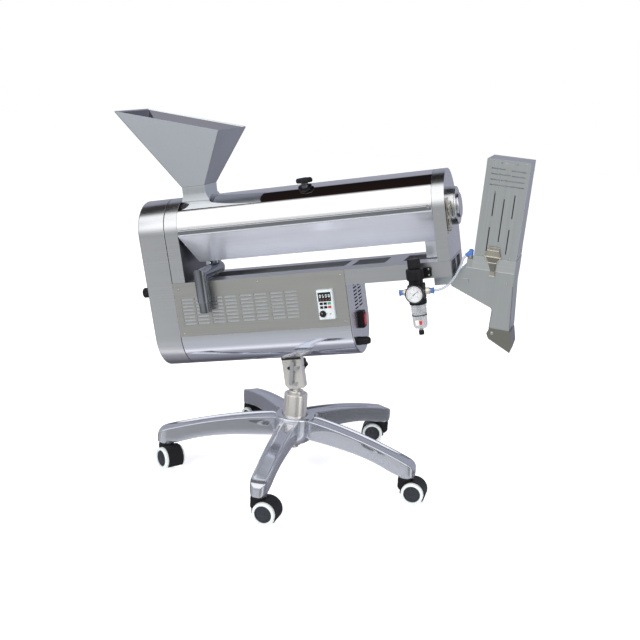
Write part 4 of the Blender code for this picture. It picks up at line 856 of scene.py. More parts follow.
def make_louvres():
    """The side panel with its pressed louvres: each slot has a bright lip under it."""
    front = -CASING_RADIUS
    length, height, pitch = 0.0330, 0.0046, 0.0091
    slots, lips = [], []
    for pair in range(4):
        for side in range(2):
            left = -0.3000 + 0.0813 * pair + 0.0383 * side
            for row in range(8):
                bottom = -0.0463 + pitch * row
                slots.append(box((left, -0.10, bottom), (left + length, -0.08, bottom + height)))
                lip = [(front + 0.0002, bottom - 0.0010), (front - 0.0009, bottom - 0.0002),
                       (front - 0.0009, bottom + 0.0003), (front + 0.0002, bottom)]
                lips.append(prism("x", lip, left, left + length))
    sheet = box((-0.3170, front, PANEL_BOTTOM), (CASING_RIGHT - 0.0025, -FRAME_HALF_WIDTH - GAP, FRAME_TOP))
    piece("side_panel", cut(sheet, together(slots)), PANEL_STEEL, "machine",
          replaces=("louvre_panel",))
    piece("louvre_lips", together(lips), PANEL_STEEL, "machine")


def make_head():
    rings = [[spot("x", point, along) for point in racetrack(inset)]
             for inset, along in ((0.0036, HEAD_LEFT), (0.0020, HEAD_LEFT + 0.0003),
                                  (0.0008, HEAD_LEFT + 0.0011), (0.0002, HEAD_LEFT + 0.0022),
                                  (0.0, HEAD_LEFT + 0.0036), (0.0, HEAD_RIGHT - 0.0003),
                                  (0.0003, HEAD_RIGHT), (SHEET, HEAD_RIGHT),
                                  (SHEET + 0.0010, HEAD_LEFT + 0.0045), (0.0060, HEAD_LEFT + SHEET))]
    piece("head_casing", loft(rings), MIRROR_STEEL, "machine", replaces=("head_housing",))

    shell = prism("x", round_top(0, FRAME_TOP + GAP), BAND_LEFT, BAND_RIGHT)
    room = prism("x", round_top(SHEET, FRAME_TOP + SHEET), BAND_LEFT - 0.01, BAND_RIGHT - SHEET)
    piece("band_plate", cut(shell, room, shaft_hole(BAND_RIGHT - 0.01, BAND_RIGHT + 0.01)), MIRROR_STEEL,
          "machine", replaces=("bulkhead",), bevel=0.0004)


def make_right_head():
    shell = prism("x", round_top(0, FRAME_TOP + GAP), POST_LEFT, FRAME_RIGHT)
    room = prism("x", round_top(SHEET, FRAME_TOP - 0.01), POST_LEFT - 0.01, FRAME_RIGHT - SHEET)
    collar = lathe("x", (0, COLLAR_W), [(0.0460, FRAME_RIGHT - 0.001), (0.0460, COLLAR_END - 0.0006),
                                        (0.0455, COLLAR_END), (0.0414, COLLAR_END),
                                        (0.0410, COLLAR_END - 0.0005), (0.0410, FRAME_RIGHT - 0.001)], 80,
                   tube=True)
    foot = box((FRAME_RIGHT - 0.001, -0.0790, 0.1260), (0.4115, -0.0550, 0.1325))
    shape = together([cut(shell, room, shaft_hole(FRAME_RIGHT - 0.01, FRAME_RIGHT + 0.01)), collar, foot])
    piece("end_head", shape, MIRROR_STEEL, "machine", replaces=("right_head",), bevel=0.0004)

    profile = [(0.0400, FRAME_RIGHT + 0.006), (0.0400, COLLAR_END + GAP), (0.0450, COLLAR_END + GAP),
               (0.0455, COLLAR_END + 0.0007), (0.0455, 0.4220), (0.0450, 0.4227), (0.0305, 0.4235),
               (0.0300, 0.4240), (0.0300, 0.4270), (0.0292, 0.4282), (0.0280, 0.4285), (0.0001, 0.4285)]
    marks = [lathe("x", (0.0200 * cos(turn), COLLAR_W + 0.0200 * sin(turn)),
                   [(0.0035, 0.4270), (0.0035, 0.42846), (0.0020, 0.42855), (0.0001, 0.42855)], 20)
             for turn in (pi / 2, pi / 2 + 2 * pi / 3, pi / 2 + 4 * pi / 3)]
    piece("bearing_cover", lathe("x", (0, COLLAR_W), profile, 80), MIRROR_STEEL, "bearing_cap",
          replaces=("end_cap",))
    piece("bearing_screws", together(marks), DARK_STEEL, "bearing_cap")


HINGES = (-0.19, 0.10, 0.32)


def make_cover():
    lean = 180 / pi * asin((COVER_EDGE - HIGH_CENTRE) / CASING_RADIUS)
    outer = arc((0, HIGH_CENTRE), CASING_RADIUS, lean, 180 - lean, 128)
    inner = arc((0, HIGH_CENTRE), CASING_RADIUS - SHEET, 180 - lean, lean, 128)
    cover = prism("x", outer + inner, COVER_LEFT, COVER_RIGHT)
    mouth = box((-0.2670, -0.0320, 0.20), (-0.2110, 0.0320, 0.30))
    piece("cover_sheet", cut(cover, mouth), COVER_STEEL, "cover", replaces=("top_cover",),
          bevel=0.0004)
    leaves = []
    for middle in HINGES:
        leaf = [(0.0858, 0.2000), (0.0900, 0.2000), (0.0925, 0.2020), (0.0925, 0.2045), (0.0850, 0.2060)]
        leaves.append(prism("x", leaf, middle - 0.018, middle + 0.018))
        leaves.append(prism("x", circle((HINGE_V, HINGE_W), 0.0040, 32), middle - 0.018, middle + 0.018))
    piece("cover_leaves", together(leaves), MIRROR_STEEL, "cover")


def make_cover_knob():
    """A fluted knob on a dark steel stem and a curved foot plate."""
    u, v = 0.056, -0.032
    profile = [(0.0100, 0.2782), (0.0150, 0.2786), (0.0186, 0.2794), (0.0200, 0.2812), (0.0205, 0.2840),
               (0.0203, 0.2868), (0.0192, 0.2893), (0.0165, 0.2908), (0.0100, 0.2914)]
    grip = fluted("z", (u, v), profile, 0.05, 8, 96, lambda radius, _: radius > 0.016)
    foot = lathe("z", (u, v), [(0.0170, 0.240), (0.0170, 0.280)], 48)
    above = prism("x", rectangle((-0.12, 0.20), (0.12, 0.32)), 0.0, 0.12)
    over = prism("x", circle((0, HIGH_CENTRE), CASING_RADIUS + 0.0026, 160), -0.01, 0.13)
    under = prism("x", circle((0, HIGH_CENTRE), CASING_RADIUS + GAP, 160), -0.01, 0.13)
    foot = cut(cut(foot, cut(above, over)), under)
    stem = lathe("z", (u, v), [(0.0105, 0.262), (0.0105, 0.2735), (0.0085, 0.2745), (0.0085, 0.2785)], 32)
    piece("cover_grip", together([grip, foot]), BLACK_PLASTIC, "cover",
          replaces=("cover_knob",))
    piece("cover_stem", stem, DARK_STEEL, "cover")


def hopper_ring(left, right, inset):
    a = (left[0] + inset, left[1], left[2] - inset)
    b = (right[0] - inset, right[1], right[2] - inset)
    return [(a[0], -a[2], a[1]), (b[0], -b[2], b[1]), (b[0], b[2], b[1]), (a[0], a[2], a[1])]


HOPPER_TOP = ((-0.3934, 0.5126, 0.095), (-0.1235, 0.4327, 0.095))
HOPPER_NECK = ((-0.2720, 0.3030, 0.033), (-0.2060, 0.3030, 0.040))


def make_hopper():
    wall = 0.0015
    stations = [(*HOPPER_TOP, wall), (*HOPPER_NECK, wall),
                ((-0.2720, 0.2800, 0.034), (-0.2060, 0.2800, 0.038), wall),
                ((-0.2760, 0.2660, 0.038), (-0.1980, 0.2660, 0.042), wall + 0.004),
                ((-0.2775, 0.2400, 0.042), (-0.1940, 0.2400, 0.046), wall + 0.006)]
    outer = [hopper_ring(left, right, 0) for left, right, _ in stations]
    inner = [hopper_ring(left, right, inset) for left, right, inset in stations]
    under = prism("x", circle((0, HIGH_CENTRE), CASING_RADIUS + GAP, 160), -0.30, -0.15)
    piece("hopper_funnel", cut(loft(outer + inner[::-1], cyclic=True), under), HOPPER_STEEL, "cover",
          replaces=("hopper",), bevel=0.0004)
    seams = []
    top = hopper_ring(*HOPPER_TOP, 0)
    neck = hopper_ring(*HOPPER_NECK, 0)
    for i in range(4):
        seams.append(rod(Vector(top[i]) * 0.985 + Vector(neck[i]) * 0.015, neck[i], 0.0008, 8))
        seams.append(rod(neck[i], neck[(i + 1) % 4], 0.0009, 8))
    piece("hopper_welds", together(seams), WELD_STEEL, "cover")


def bent_pipe(radius, back, rings_down, sides):
    """A pipe from v = BACK forwards, round a mitred corner and down through (radius, w) rings."""
    turns = [2 * pi * i / sides for i in range(sides)]
    rings = [[(PIPE_U + radius * cos(a), back, PIPE_W + radius * sin(a)) for a in turns],
             [(PIPE_U + radius * cos(a), PIPE_V - radius * sin(a), PIPE_W + radius * sin(a)) for a in turns]]
    for size, height in rings_down:
        rings.append([(PIPE_U + size * cos(a), PIPE_V - size * sin(a), height) for a in turns])
    return loft(rings)


def make_suction_pipe():
    outside = bent_pipe(PIPE_RADIUS, 0.018, [(PIPE_RADIUS, 0.0156), (0.0166, 0.0146), (0.0152, 0.0139),
                                             (0.0150, 0.0130), (0.0150, -0.0120)], 64)
    inside = bent_pipe(PIPE_RADIUS - SHEET, 0.016, [(PIPE_RADIUS - SHEET, 0.0180), (0.0130, 0.0160),
                                                    (0.0130, -0.0200)], 48)
    stub = lathe("z", (PIPE_U, 0), [(0.0130, PIPE_W), (0.0130, TROUGH_FLOOR - GAP)], 48)
    throat = lathe("z", (PIPE_U, 0), [(0.0110, PIPE_W), (0.0110, TROUGH_FLOOR + 0.01)], 40)
    piece("dust_pipe", cut(joined(outside, stub), inside, throat), PIPE_STEEL, "machine",
          replaces=("suction_pipe",), bevel=0.0003)


# ---------------------------------------------------------------- controls


DIAL = (0.0800, -0.0400)


def make_controls():
    rings = [[spot("y", point, along) for point in rounded(0.0690 + inset, -0.0545 + inset, 0.1100 - inset,
                                                           0.0200 - inset, 0.0020 + 0.4 * inset)]
             for inset, along in ((0.0, -0.0873), (0.0, -0.0965), (0.0004, -0.0978), (0.0015, -0.0988),
                                  (0.0022, -0.0990))]
    pockets = [box((u - 0.0041, -0.11, w - 0.0031), (u + 0.0041, -0.0960, w + 0.0031))
               for u in (0.0790, 0.0893, 0.0996) for w in (-0.0142, -0.0235)]
    pockets.append(box((0.0735, -0.11, -0.0080), (0.1050, -0.0980, 0.0130)))
    piece("controller_case", cut(loft(rings), together(pockets)), PALE_PLASTIC, "machine",
          replaces=("control_box",))
    window = box((0.0736, -0.0983, -0.0079), (0.1049, -0.0979, 0.0129))
    piece("controller_window", window, DISPLAY_BLACK, "machine")
    digits = []
    for place, number in enumerate((0, 5, 0, 0)):
        digits += digit((0.0778 + 0.0076 * place, 0.0045), number, 0.0030, 0.0031, 0.0006, -0.09835, -0.0978)
    piece("controller_digits", together(digits), DISPLAY_GREEN, "machine")
    lights = together(lathe("y", (0.0778 + 0.0076 * place, -0.0047), [(0.0007, -0.0978), (0.0007, -0.0984),
                                                                      (0.0003, -0.0985)], 12)
                      for place in range(4))
    piece("controller_lights", lights, DISPLAY_RED, "machine")
    bezel = []
    for low, high in (((0.0728, -0.0089), (0.1057, -0.0080)), ((0.0728, 0.0130), (0.1057, 0.0139)),
                      ((0.0728, -0.0080), (0.0735, 0.0130)), ((0.1050, -0.0080), (0.1057, 0.0130))):
        bezel.append(box((low[0], -0.0993, low[1]), (high[0], -0.0988, high[1])))
    piece("controller_bezel", together(bezel), DARK_TRIM, "machine")
    skirt = [lathe("y", DIAL, [(0.0086, -0.0989), (0.0086, -0.0992), (0.0070, -0.0993)], 48)]
    ticks = []
    for number in range(11):
        turn = radians(225 - 27 * number)
        at = Vector((DIAL[0] + 0.0092 * cos(turn), -0.09905, DIAL[1] + 0.0092 * sin(turn)))
        out = Vector((cos(turn), 0, sin(turn)))
        ticks.append(rod(at, at + 0.0012 * out, 0.00025, 6))
    piece("dial_scale", together(skirt + ticks), DARK_TRIM, "machine")
    profile = [(0.0066, -0.0993), (0.0066, -0.1004), (0.0060, -0.1010), (0.0057, -0.1048), (0.0050, -0.1057),
               (0.0035, -0.1058)]
    dial = fluted("y", DIAL, profile, 0.035, 18, 108,
                  lambda radius, along: along < -0.1005 and radius > 0.0052)
    slot = box((0.0796, -0.12, -0.0390), (0.0804, -0.1052, -0.0345))
    piece("dial_cap", cut(dial, slot), BLACK_PLASTIC, "speed_control",
          replaces=("speed_dial",))
    piece("dial_line", box((0.07965, -0.1056, -0.0388), (0.08035, -0.1051, -0.0350)), WHITE_PAINT,
          "speed_control")
    marks = []
    for u in (0.0893, 0.0996):
        marks.append(box((u - 0.0022, -0.09925, -0.0405), (u + 0.0022, -0.0989, -0.0397)))
        marks.append(box((u - 0.0022, -0.09925, -0.0432), (u + 0.0010, -0.0989, -0.0424)))
    piece("panel_marks", together(marks), DARK_TRIM, "machine")


def make_switches():
    rings = [[spot("x", point, along) for point in rounded(-0.0135 + inset, -0.1015 + inset, 0.0135 - inset,
                                                           -0.0585 - inset, 0.0025)]
             for inset, along in ((0, 0.1458), (0, 0.1550), (0.0006, 0.1565), (0.0020, 0.1574),
                                  (0.0030, 0.1575))]
    pocket = box((0.1520, -0.0090, -0.0955), (0.17, 0.0090, -0.0645))
    piece("switch_frame", cut(loft(rings), pocket), BLACK_PLASTIC, "machine",
          replaces=("switch_housing",))
    left, barrel = CASING_RIGHT + GAP, 0.0098
    profile = [(0.0035, left), (0.0110, left), (0.0110, left + 0.0055), (0.0104, left + 0.0065),
               (barrel, left + 0.0072), (barrel, left + 0.0205), (0.0094, left + 0.0235),
               (0.0085, left + 0.0275), (0.0070, left + 0.0300), (0.0052, left + 0.0305),
               (0.0035, left + 0.0300)]
    gland = fluted("x", (-0.043, -0.1265), profile, 0.0004 / barrel, 24, 96,
                   lambda radius, _: radius == barrel, cyclic=True)
    piece("gland_body", gland, BLACK_PLASTIC, "machine", replaces=("cable_gland",),
          crease=50)


def make_head_screw():
    left, right, rim = -0.4125, HEAD_LEFT - GAP, 0.0125
    profile = [(0.0060, right), (0.0060, right - 0.0030), (0.0118, right - 0.0034), (rim, right - 0.0045),
               (rim, left + 0.0022), (0.0118, left + 0.0007), (0.0104, left)]
    grip = fluted("x", (-0.062, 0.0425), profile, 0.0006 / rim, 20, 120, lambda radius, _: radius == rim)
    piece("head_grip", grip, BLACK_PLASTIC, "head_handle", replaces=("head_knob",),
          crease=50)


# ---------------------------------------------------------------- air supply

REGULATOR_U = 0.3240
REGULATOR_V = -0.1180
PORT_W = 0.0020
FRONT_V = REGULATOR_V - 0.0233


def make_regulator():
    u, v = REGULATOR_U, REGULATOR_V
    block = lathe("z", (u, v), [(0.0190, -0.0275), (0.0205, -0.0268), (0.0210, -0.0250), (0.0210, -0.0165),
                                (0.0203, -0.0152), (0.0172, -0.0142), (0.0170, 0.0300), (0.0190, 0.0306),
                                (0.0203, 0.0316), (0.0205, 0.0330), (0.0205, 0.0548), (0.0198, 0.0565),
                                (0.0160, 0.0580)], 72)
    ribs = [box((u + 0.0203 * cos(turn) - 0.0006, v + 0.0203 * sin(turn) - 0.0006, 0.0345),
                (u + 0.0203 * cos(turn) + 0.0006, v + 0.0203 * sin(turn) + 0.0006, 0.0535))
            for turn in [2 * pi * i / 30 for i in range(30)]]
    waist = prism("z", rounded(u - 0.0185, v - 0.0185, u + 0.0185, v + 0.0185, 0.0035), -0.0150, 0.0200)
    collar = prism("z", rounded(u - 0.0190, v - 0.0190, u + 0.0190, v + 0.0190, 0.0040), 0.0130, 0.0165)
    port = lathe("y", (u, PORT_W), [(0.0085, v - 0.0165), (0.0085, v - 0.0195), (0.0050, v - 0.0200),
                                    (0.0050, v - 0.0230)], 40)
    plate = prism("y", rounded(u + 0.0020, 0.0300, u + 0.0335, 0.0530, 0.0030), -0.0920, -0.0873)
    link = box((u + 0.0020, v, 0.0340), (u + 0.0140, -0.0900, 0.0510))
    piece("regulator_case", together([block, waist, collar, port, plate, link] + ribs), BLACK_PLASTIC,
          "machine", replaces=("regulator_body",), bevel=0.0004)
    heads = together(button((u + 0.0275, w), 0.0024, -0.0920, -0.0934) for w in (0.0345, 0.0485))
    piece("regulator_screws", heads, SCREW_STEEL, "machine")

    nuts, collars = [], []
    for side in (-1, 1):
        near = lathe("x", (v, PORT_W), [(0.0068, u + side * 0.0150), (0.0068, u + side * 0.0216)], 40)
        nut = prism("x", circle((v, PORT_W), 0.0085, 6), u + side * 0.0214, u + side * 0.0302)
        barrel = lathe("x", (v, PORT_W), [(0.0066, u + side * 0.0300), (0.0066, u + side * 0.0335)], 40)
        nuts += [near, nut, barrel]
        end = 0.0420 if side < 0 else 0.0403
        collars.append(lathe("x", (v, PORT_W), [(0.0060, u + side * 0.0333), (0.0064, u + side * 0.0338),
                                                (0.0064, u + side * (end - 0.0024)),
                                                (0.0078, u + side * (end - 0.0018)),
                                                (0.0078, u + side * (end - 0.0004)),
                                                (0.0070, u + side * end), (0.0033, u + side * end),
                                                (0.0033, u + side * 0.0333)], 48))
    piece("port_nuts", together(nuts), NICKEL, "machine", bevel=0.0004)
    piece("port_collars", together(collars), BLUE_PLASTIC, "machine")

    profile = [(0.0140, 0.0585), (0.0150, 0.0592), (0.0152, 0.0640), (0.0152, 0.0648), (0.0150, 0.0655),
               (0.0148, 0.0785), (0.0142, 0.0802), (0.0128, 0.0811), (0.0110, 0.0812)]
    cap = fluted("z", (u, v), profile, 0.025, 30, 180, lambda _, along: 0.0640 < along < 0.0800)
    piece("regulator_cap", cap, BLACK_PLASTIC, "pressure_control",
          replaces=("regulator_knob",), crease=50)


def make_gauge():
    u = REGULATOR_U
    back = FRONT_V
    case = lathe("y", (u, PORT_W), [(0.0120, back), (0.0150, back - 0.0002), (0.0208, back - 0.0012),
                                    (0.0218, back - 0.0020), (0.0220, back - 0.0030),
                                    (0.0220, back - 0.0112), (0.0216, back - 0.0122),
                                    (0.0208, back - 0.0125), (0.0198, back - 0.0123),
                                    (0.0194, back - 0.0115), (0.0193, back - 0.0100),
                                    (0.0001, back - 0.0100)], 96)
    piece("gauge_case", case, GAUGE_CASE, "machine", replaces=("pressure_gauge",))
    face = lathe("y", (u, PORT_W), [(0.0192, back - 0.0099), (0.0192, back - 0.0103),
                                    (0.0001, back - 0.01032)], 96)
    piece("gauge_dial", face, DIAL_WHITE, "machine")
    ticks, reds = [], []
    for number in range(41):
        turn = radians(225 - 270 * number / 40)
        out = Vector((cos(turn), 0, sin(turn)))
        at = Vector((u, back - 0.0104, PORT_W)) + 0.0170 * out
        long = number % 10 == 0
        middle = number % 5 == 0
        reach = 0.0034 if long else 0.0026 if middle else 0.0014
        target = ticks if number < 31 else reds
        target.append(rod(at, at - reach * out, 0.00045 if middle else 0.00028, 6))
    for target, reach, steps, thick in ((ticks, 0.0172, 60, 0.00016), (reds, 0.0122, 40, 0.00014)):
        ring = [spot("y", point, back - 0.0104) for point in arc((u, PORT_W), reach, 225, -45, steps)]
        target.append(wire(ring, thick, 6))
    for number in range(5):
        turn = radians(225 - 67.5 * number)
        at = (u + 0.0098 * cos(turn), PORT_W + 0.0098 * sin(turn))
        ticks += digit(at, 2 * number, 0.0017, 0.0012, 0.00045, back - 0.0105, back - 0.0102)
    piece("gauge_marks", together(ticks), DARK_TRIM, "machine")
    piece("gauge_reds", together(reds), RED_PLASTIC, "machine")
    turn = radians(38)
    tip = Vector((u + 0.0145 * cos(turn), back - 0.0109, PORT_W + 0.0145 * sin(turn)))
    tail = Vector((u - 0.0055 * cos(turn), back - 0.0109, PORT_W - 0.0055 * sin(turn)))
    across = Vector((-sin(turn), 0, cos(turn)))
    hand = loft([[at + w * across + Vector((0, h, 0))
                  for w, h in ((half, -0.0001), (half, 0.0001), (-half, 0.0001), (-half, -0.0001))]
                 for at, half in ((tail, 0.0015), (tail.lerp(tip, 0.3), 0.0011), (tip, 0.0003))])
    boss = lathe("y", (u, PORT_W), [(0.0014, back - 0.0104), (0.0014, back - 0.0112),
                                    (0.0009, back - 0.0114)], 32)
    piece("gauge_hand", together([hand, boss]), DARK_TRIM, "machine")
    lens = lathe("y", (u, PORT_W), [(0.0193, back - 0.0117), (0.0193, back - 0.0120), (0.0120, back - 0.0123),
                                    (0.0001, back - 0.0124)], 96)
    piece("gauge_lens", lens, LENS_GLASS, "machine")


def make_bowl():
    u, v = REGULATOR_U, REGULATOR_V
    top = -0.0278
    bowl = [(0.0170, top), (0.0193, top), (0.0195, top - 0.0010), (0.0195, top - 0.0055),
            (0.0190, top - 0.0068), (0.0186, top - 0.0085), (0.0172, -0.0785), (0.0166, -0.0820),
            (0.0150, -0.0848), (0.0120, -0.0862), (0.0075, -0.0868), (0.0062, -0.0872), (0.0060, -0.0900),
            (0.0040, -0.0900), (0.0042, -0.0850), (0.0120, -0.0835), (0.0145, -0.0815), (0.0156, -0.0780),
            (0.0172, -0.0400)]
    piece("bowl_glass", lathe("z", (u, v), bowl, 96, tube=True), CLEAR_PLASTIC, "bowl",
          replaces=("filter_bowl",))
    rings = lathe("z", (u, v), [(0.0176, -0.0520), (0.0182, -0.0520), (0.0181, -0.0545), (0.0175, -0.0545)],
                  96, tube=True)
    valve = lathe("z", (u, v), [(0.0040, -0.0880), (0.0040, -0.0915), (0.0060, -0.0920), (0.0064, -0.0930),
                                (0.0064, -0.1005), (0.0058, -0.1020), (0.0030, -0.1020)], 40)
    piece("bowl_band", rings, DARK_TRIM, "bowl")
    piece("drain_valve", valve, BLACK_PLASTIC, "bowl")
    stem = lathe("z", (u, v), [(0.0060, top - 0.001), (0.0060, -0.0420), (0.0100, -0.0430), (0.0100, -0.0640),
                               (0.0060, -0.0650), (0.0030, -0.0660), (0.0030, -0.0840)], 48)
    piece("filter_core", stem, PALE_PLASTIC, "bowl")
    label = curved_label(u, v, 0.01800, -0.0760, -0.0640, -118, -62)
    piece("bowl_label", label, WHITE_PAINT, "bowl")
    piece("bowl_mark", curved_label(u, v, 0.01815, -0.0752, -0.0648, -88, -64), RED_PLASTIC, "bowl")


def curved_label(u, v, radius, low, high, start, end):
    """A thin sticker that follows the bowl."""
    rings = []
    for i in range(17):
        turn = radians(start + (end - start) * i / 16)
        rings.append([(u + reach * cos(turn), v + reach * sin(turn), height)
                      for reach, height in ((radius - 0.0006, low), (radius, low), (radius + 0.0002, high),
                                            (radius - 0.0004, high))])
    return loft(rings)


# The hose's route and the elbow, from the column's axis on the floor, as in the CAD.
HOSE_RADIUS = 0.0030
HOSE_ROUTE = ((0.3583, -0.1180, 0.5560), (0.3660, -0.1172, 0.5577), (0.3790, -0.1110, 0.5635),
              (0.3900, -0.1005, 0.5735), (0.3980, -0.0885, 0.5860), (0.4035, -0.0775, 0.6000),
              (0.4073, -0.0687, 0.6140), (0.41083, -0.06158, 0.62894), (0.4160, -0.0590, 0.6345))
ELBOW_CENTRE = Vector((0.4266, -0.0537, 0.6459))


def smooth_route(points, pieces):
    """Points read from a Catmull-Rom curve through the route."""
    knots = [Vector(point) for point in points]
    knots = [2 * knots[0] - knots[1], *knots, 2 * knots[-1] - knots[-2]]
    route = []
    for before, start, end, after in zip(knots, knots[1:], knots[2:], knots[3:]):
        for step in range(pieces):
            t = step / pieces
            route.append(0.5 * (2 * start + (end - before) * t
                                + (2 * before - 5 * start + 4 * end - after) * t**2
                                + (3 * start - before - 3 * end + after) * t**3))
    route.append(knots[-2])
    return route


def make_hose():
    route = [FOOT + point for point in smooth_route(HOSE_ROUTE, 3)]
    hose = piece("air_tube", wire(route, HOSE_RADIUS, 24), HOSE_CLEAR, "machine", WORLD,
                 ("air_hose",))


def make_elbow():
    end = Vector(HOSE_ROUTE[-1])
    way = (ELBOW_CENTRE - end).normalized()
    foot = ELBOW_CENTRE - Vector((0, 0, 0.0163))
    body = [rod(end + 0.0030 * way, ELBOW_CENTRE + 0.001 * way, 0.0050, 40),
            rod(foot + Vector((0, 0, 0.0070)), ELBOW_CENTRE + Vector((0, 0, 0.0040)), 0.0054, 40),
            rod(ELBOW_CENTRE + Vector((0, 0, 0.0038)), ELBOW_CENTRE + Vector((0, 0, 0.0055)), 0.0042, 32)]
    piece("elbow_body", together(body), BLUE_PLASTIC, "machine", BASE, ("hose_elbow",),
          bevel=0.0004)
    ring = rod(end + 0.0005 * way, end + 0.0032 * way, 0.0056, 40)
    piece("elbow_ring", ring, BLUE_PLASTIC, "machine", BASE, bevel=0.0005)
    piece("elbow_nut", rod(foot, foot + Vector((0, 0, 0.0075)), 0.0062, 6), NICKEL, "machine",
          BASE, bevel=0.0004)


# ---------------------------------------------------------------- fixings


def button(at, radius, face, top, axis="y", sides=28):
    """A domed screw head with a shallow cross recess, standing on FACE up to TOP."""
    high = top - face
    head = lathe(axis, at, [(radius, face - 0.2 * high), (radius, face + 0.25 * high),
                            (0.86 * radius, face + 0.62 * high), (0.55 * radius, face + 0.92 * high),
                            (0.20 * radius, top), (0.0001, top)], sides)
    first, second, third = AXES[axis]
    marks = []
    for long, short in ((0.5, 0.12), (0.12, 0.5)):
        low, up = [0.0] * 3, [0.0] * 3
        low[first], up[first] = at[0] - long * radius, at[0] + long * radius
        low[second], up[second] = at[1] - short * radius, at[1] + short * radius
        low[third], up[third] = sorted((top - 0.35 * high, top + 0.5 * high))
        marks.append(box(low, up))
    return cut(head, marks[0], marks[1])


def make_screws():
    panel = [(-0.302, 0.047), (-0.305, -0.069), (-0.0845, 0.051), (0.1325, 0.051), (0.130, -0.065)]
    piece("panel_screws", together(button(at, 0.0024, -CASING_RADIUS, -CASING_RADIUS - 0.0012)
                                   for at in panel), SCREW_STEEL, "machine")
    corners = [(-0.0337, 0.2258), (0.0401, 0.2237), (-0.0310, 0.0037), (0.0338, 0.0031)]
    piece("tower_screws", together(button(at, 0.0021, SORTER_FRONT, SORTER_FRONT - 0.0011) for at in corners),
          SCREW_STEEL, "sorter_tower", SORTER)
    piece("chute_screws", button((0.0343, -0.0558), 0.0021, SORTER_FRONT, SORTER_FRONT - 0.0011), SCREW_STEEL,
          "machine", SORTER)
    rivets = [button((q, r), 0.0020, side * COLUMN_HALF_WIDTH, side * (COLUMN_HALF_WIDTH + 0.0010), "x", 20)
              for side in (-1, 1) for q in (-0.050, 0.040) for r in (0.012, 0.120, 0.205)]
    piece("tower_rivets", together(rivets), SCREW_STEEL, "sorter_tower", SORTER)
    ball = lathe("y", (0.3660, 0.1965), [(0.0048, -0.0840), (0.0048, -0.0885), (0.0030, -0.0895),
                                         (0.0038, -0.0908), (0.0040, -0.0925), (0.0030, -0.0942),
                                         (0.0001, -0.0946)], 32)
    post = button((0.3865, 0.1730), 0.0026, -0.0868, -0.0882)
    piece("head_screws", together([ball, post]), SCREW_STEEL, "machine")


# ---------------------------------------------------------------- sorter and latches


def make_sorter_trim():
    """The folded strips, hems and flanges that stand a little proud of the sheet."""
    front = SORTER_FRONT
    half = COLUMN_HALF_WIDTH
    band = [box((-0.0507, front - 0.0009, -0.0300), (0.0506, front + 0.0005, -0.0008))]
    fold = [(front + 0.0004, -0.0310), (front - 0.0015, -0.0310), (front - 0.0018, -0.0302),
            (front - 0.0010, -0.0296), (front + 0.0004, -0.0296)]
    band.append(prism("x", fold, -0.0740, 0.0512))
    piece("chute_band", together(band), BAND_STEEL, "machine", SORTER, bevel=0.0003)
    hems = [rod((-0.0925, front - 0.0003, -0.0806), (0.0082, front - 0.0003, -0.1188), 0.0008, 8),
            rod((0.0082, front - 0.0003, -0.1188), (0.0108, front - 0.0003, -0.1240), 0.0008, 8),
            rod((0.0108, front - 0.0003, -0.1240), (0.0098, front - 0.0003, -0.1690), 0.0008, 8),
            rod((0.0510, front - 0.0003, -0.0600), (0.0586, front - 0.0003, -0.1690), 0.0009, 8)]
    piece("chute_hems", together(hems), WELD_STEEL, "machine", SORTER)
    edges = []
    for side in (-1, 1):
        edges.append(box((side * half - 0.0006, front - 0.0006, 0.0010),
                         (side * half + 0.0006, front + 0.0012, 0.2285)))
    edges.append(box((-half, front - 0.0006, 0.2277), (half, front + 0.0010, 0.2289)))
    flange = prism("z", rectangle((half - 0.0002, front + 0.004), (half + 0.0009, SORTER_BACK - 0.004)),
                   0.004, 0.010)
    piece("tower_edges", together(edges + [flange]), BAND_STEEL, "sorter_tower", SORTER)
    liner = box((-half + 0.0030, front + 0.0060, 0.1500), (half - 0.0030, front + 0.0068, 0.2270))
    piece("tower_screen", liner, MESH_STEEL, "sorter_tower", SORTER)
    # Painted shade: a dark sheet inside the tower, below the screen, stands in for the shade there.
    dark = box((-half + 0.0030, front + 0.0060, 0.0060), (half - 0.0030, front + 0.0068, 0.1500))
    piece("tower_painted_shade", dark, DARK_STEEL, "sorter_tower", SORTER)


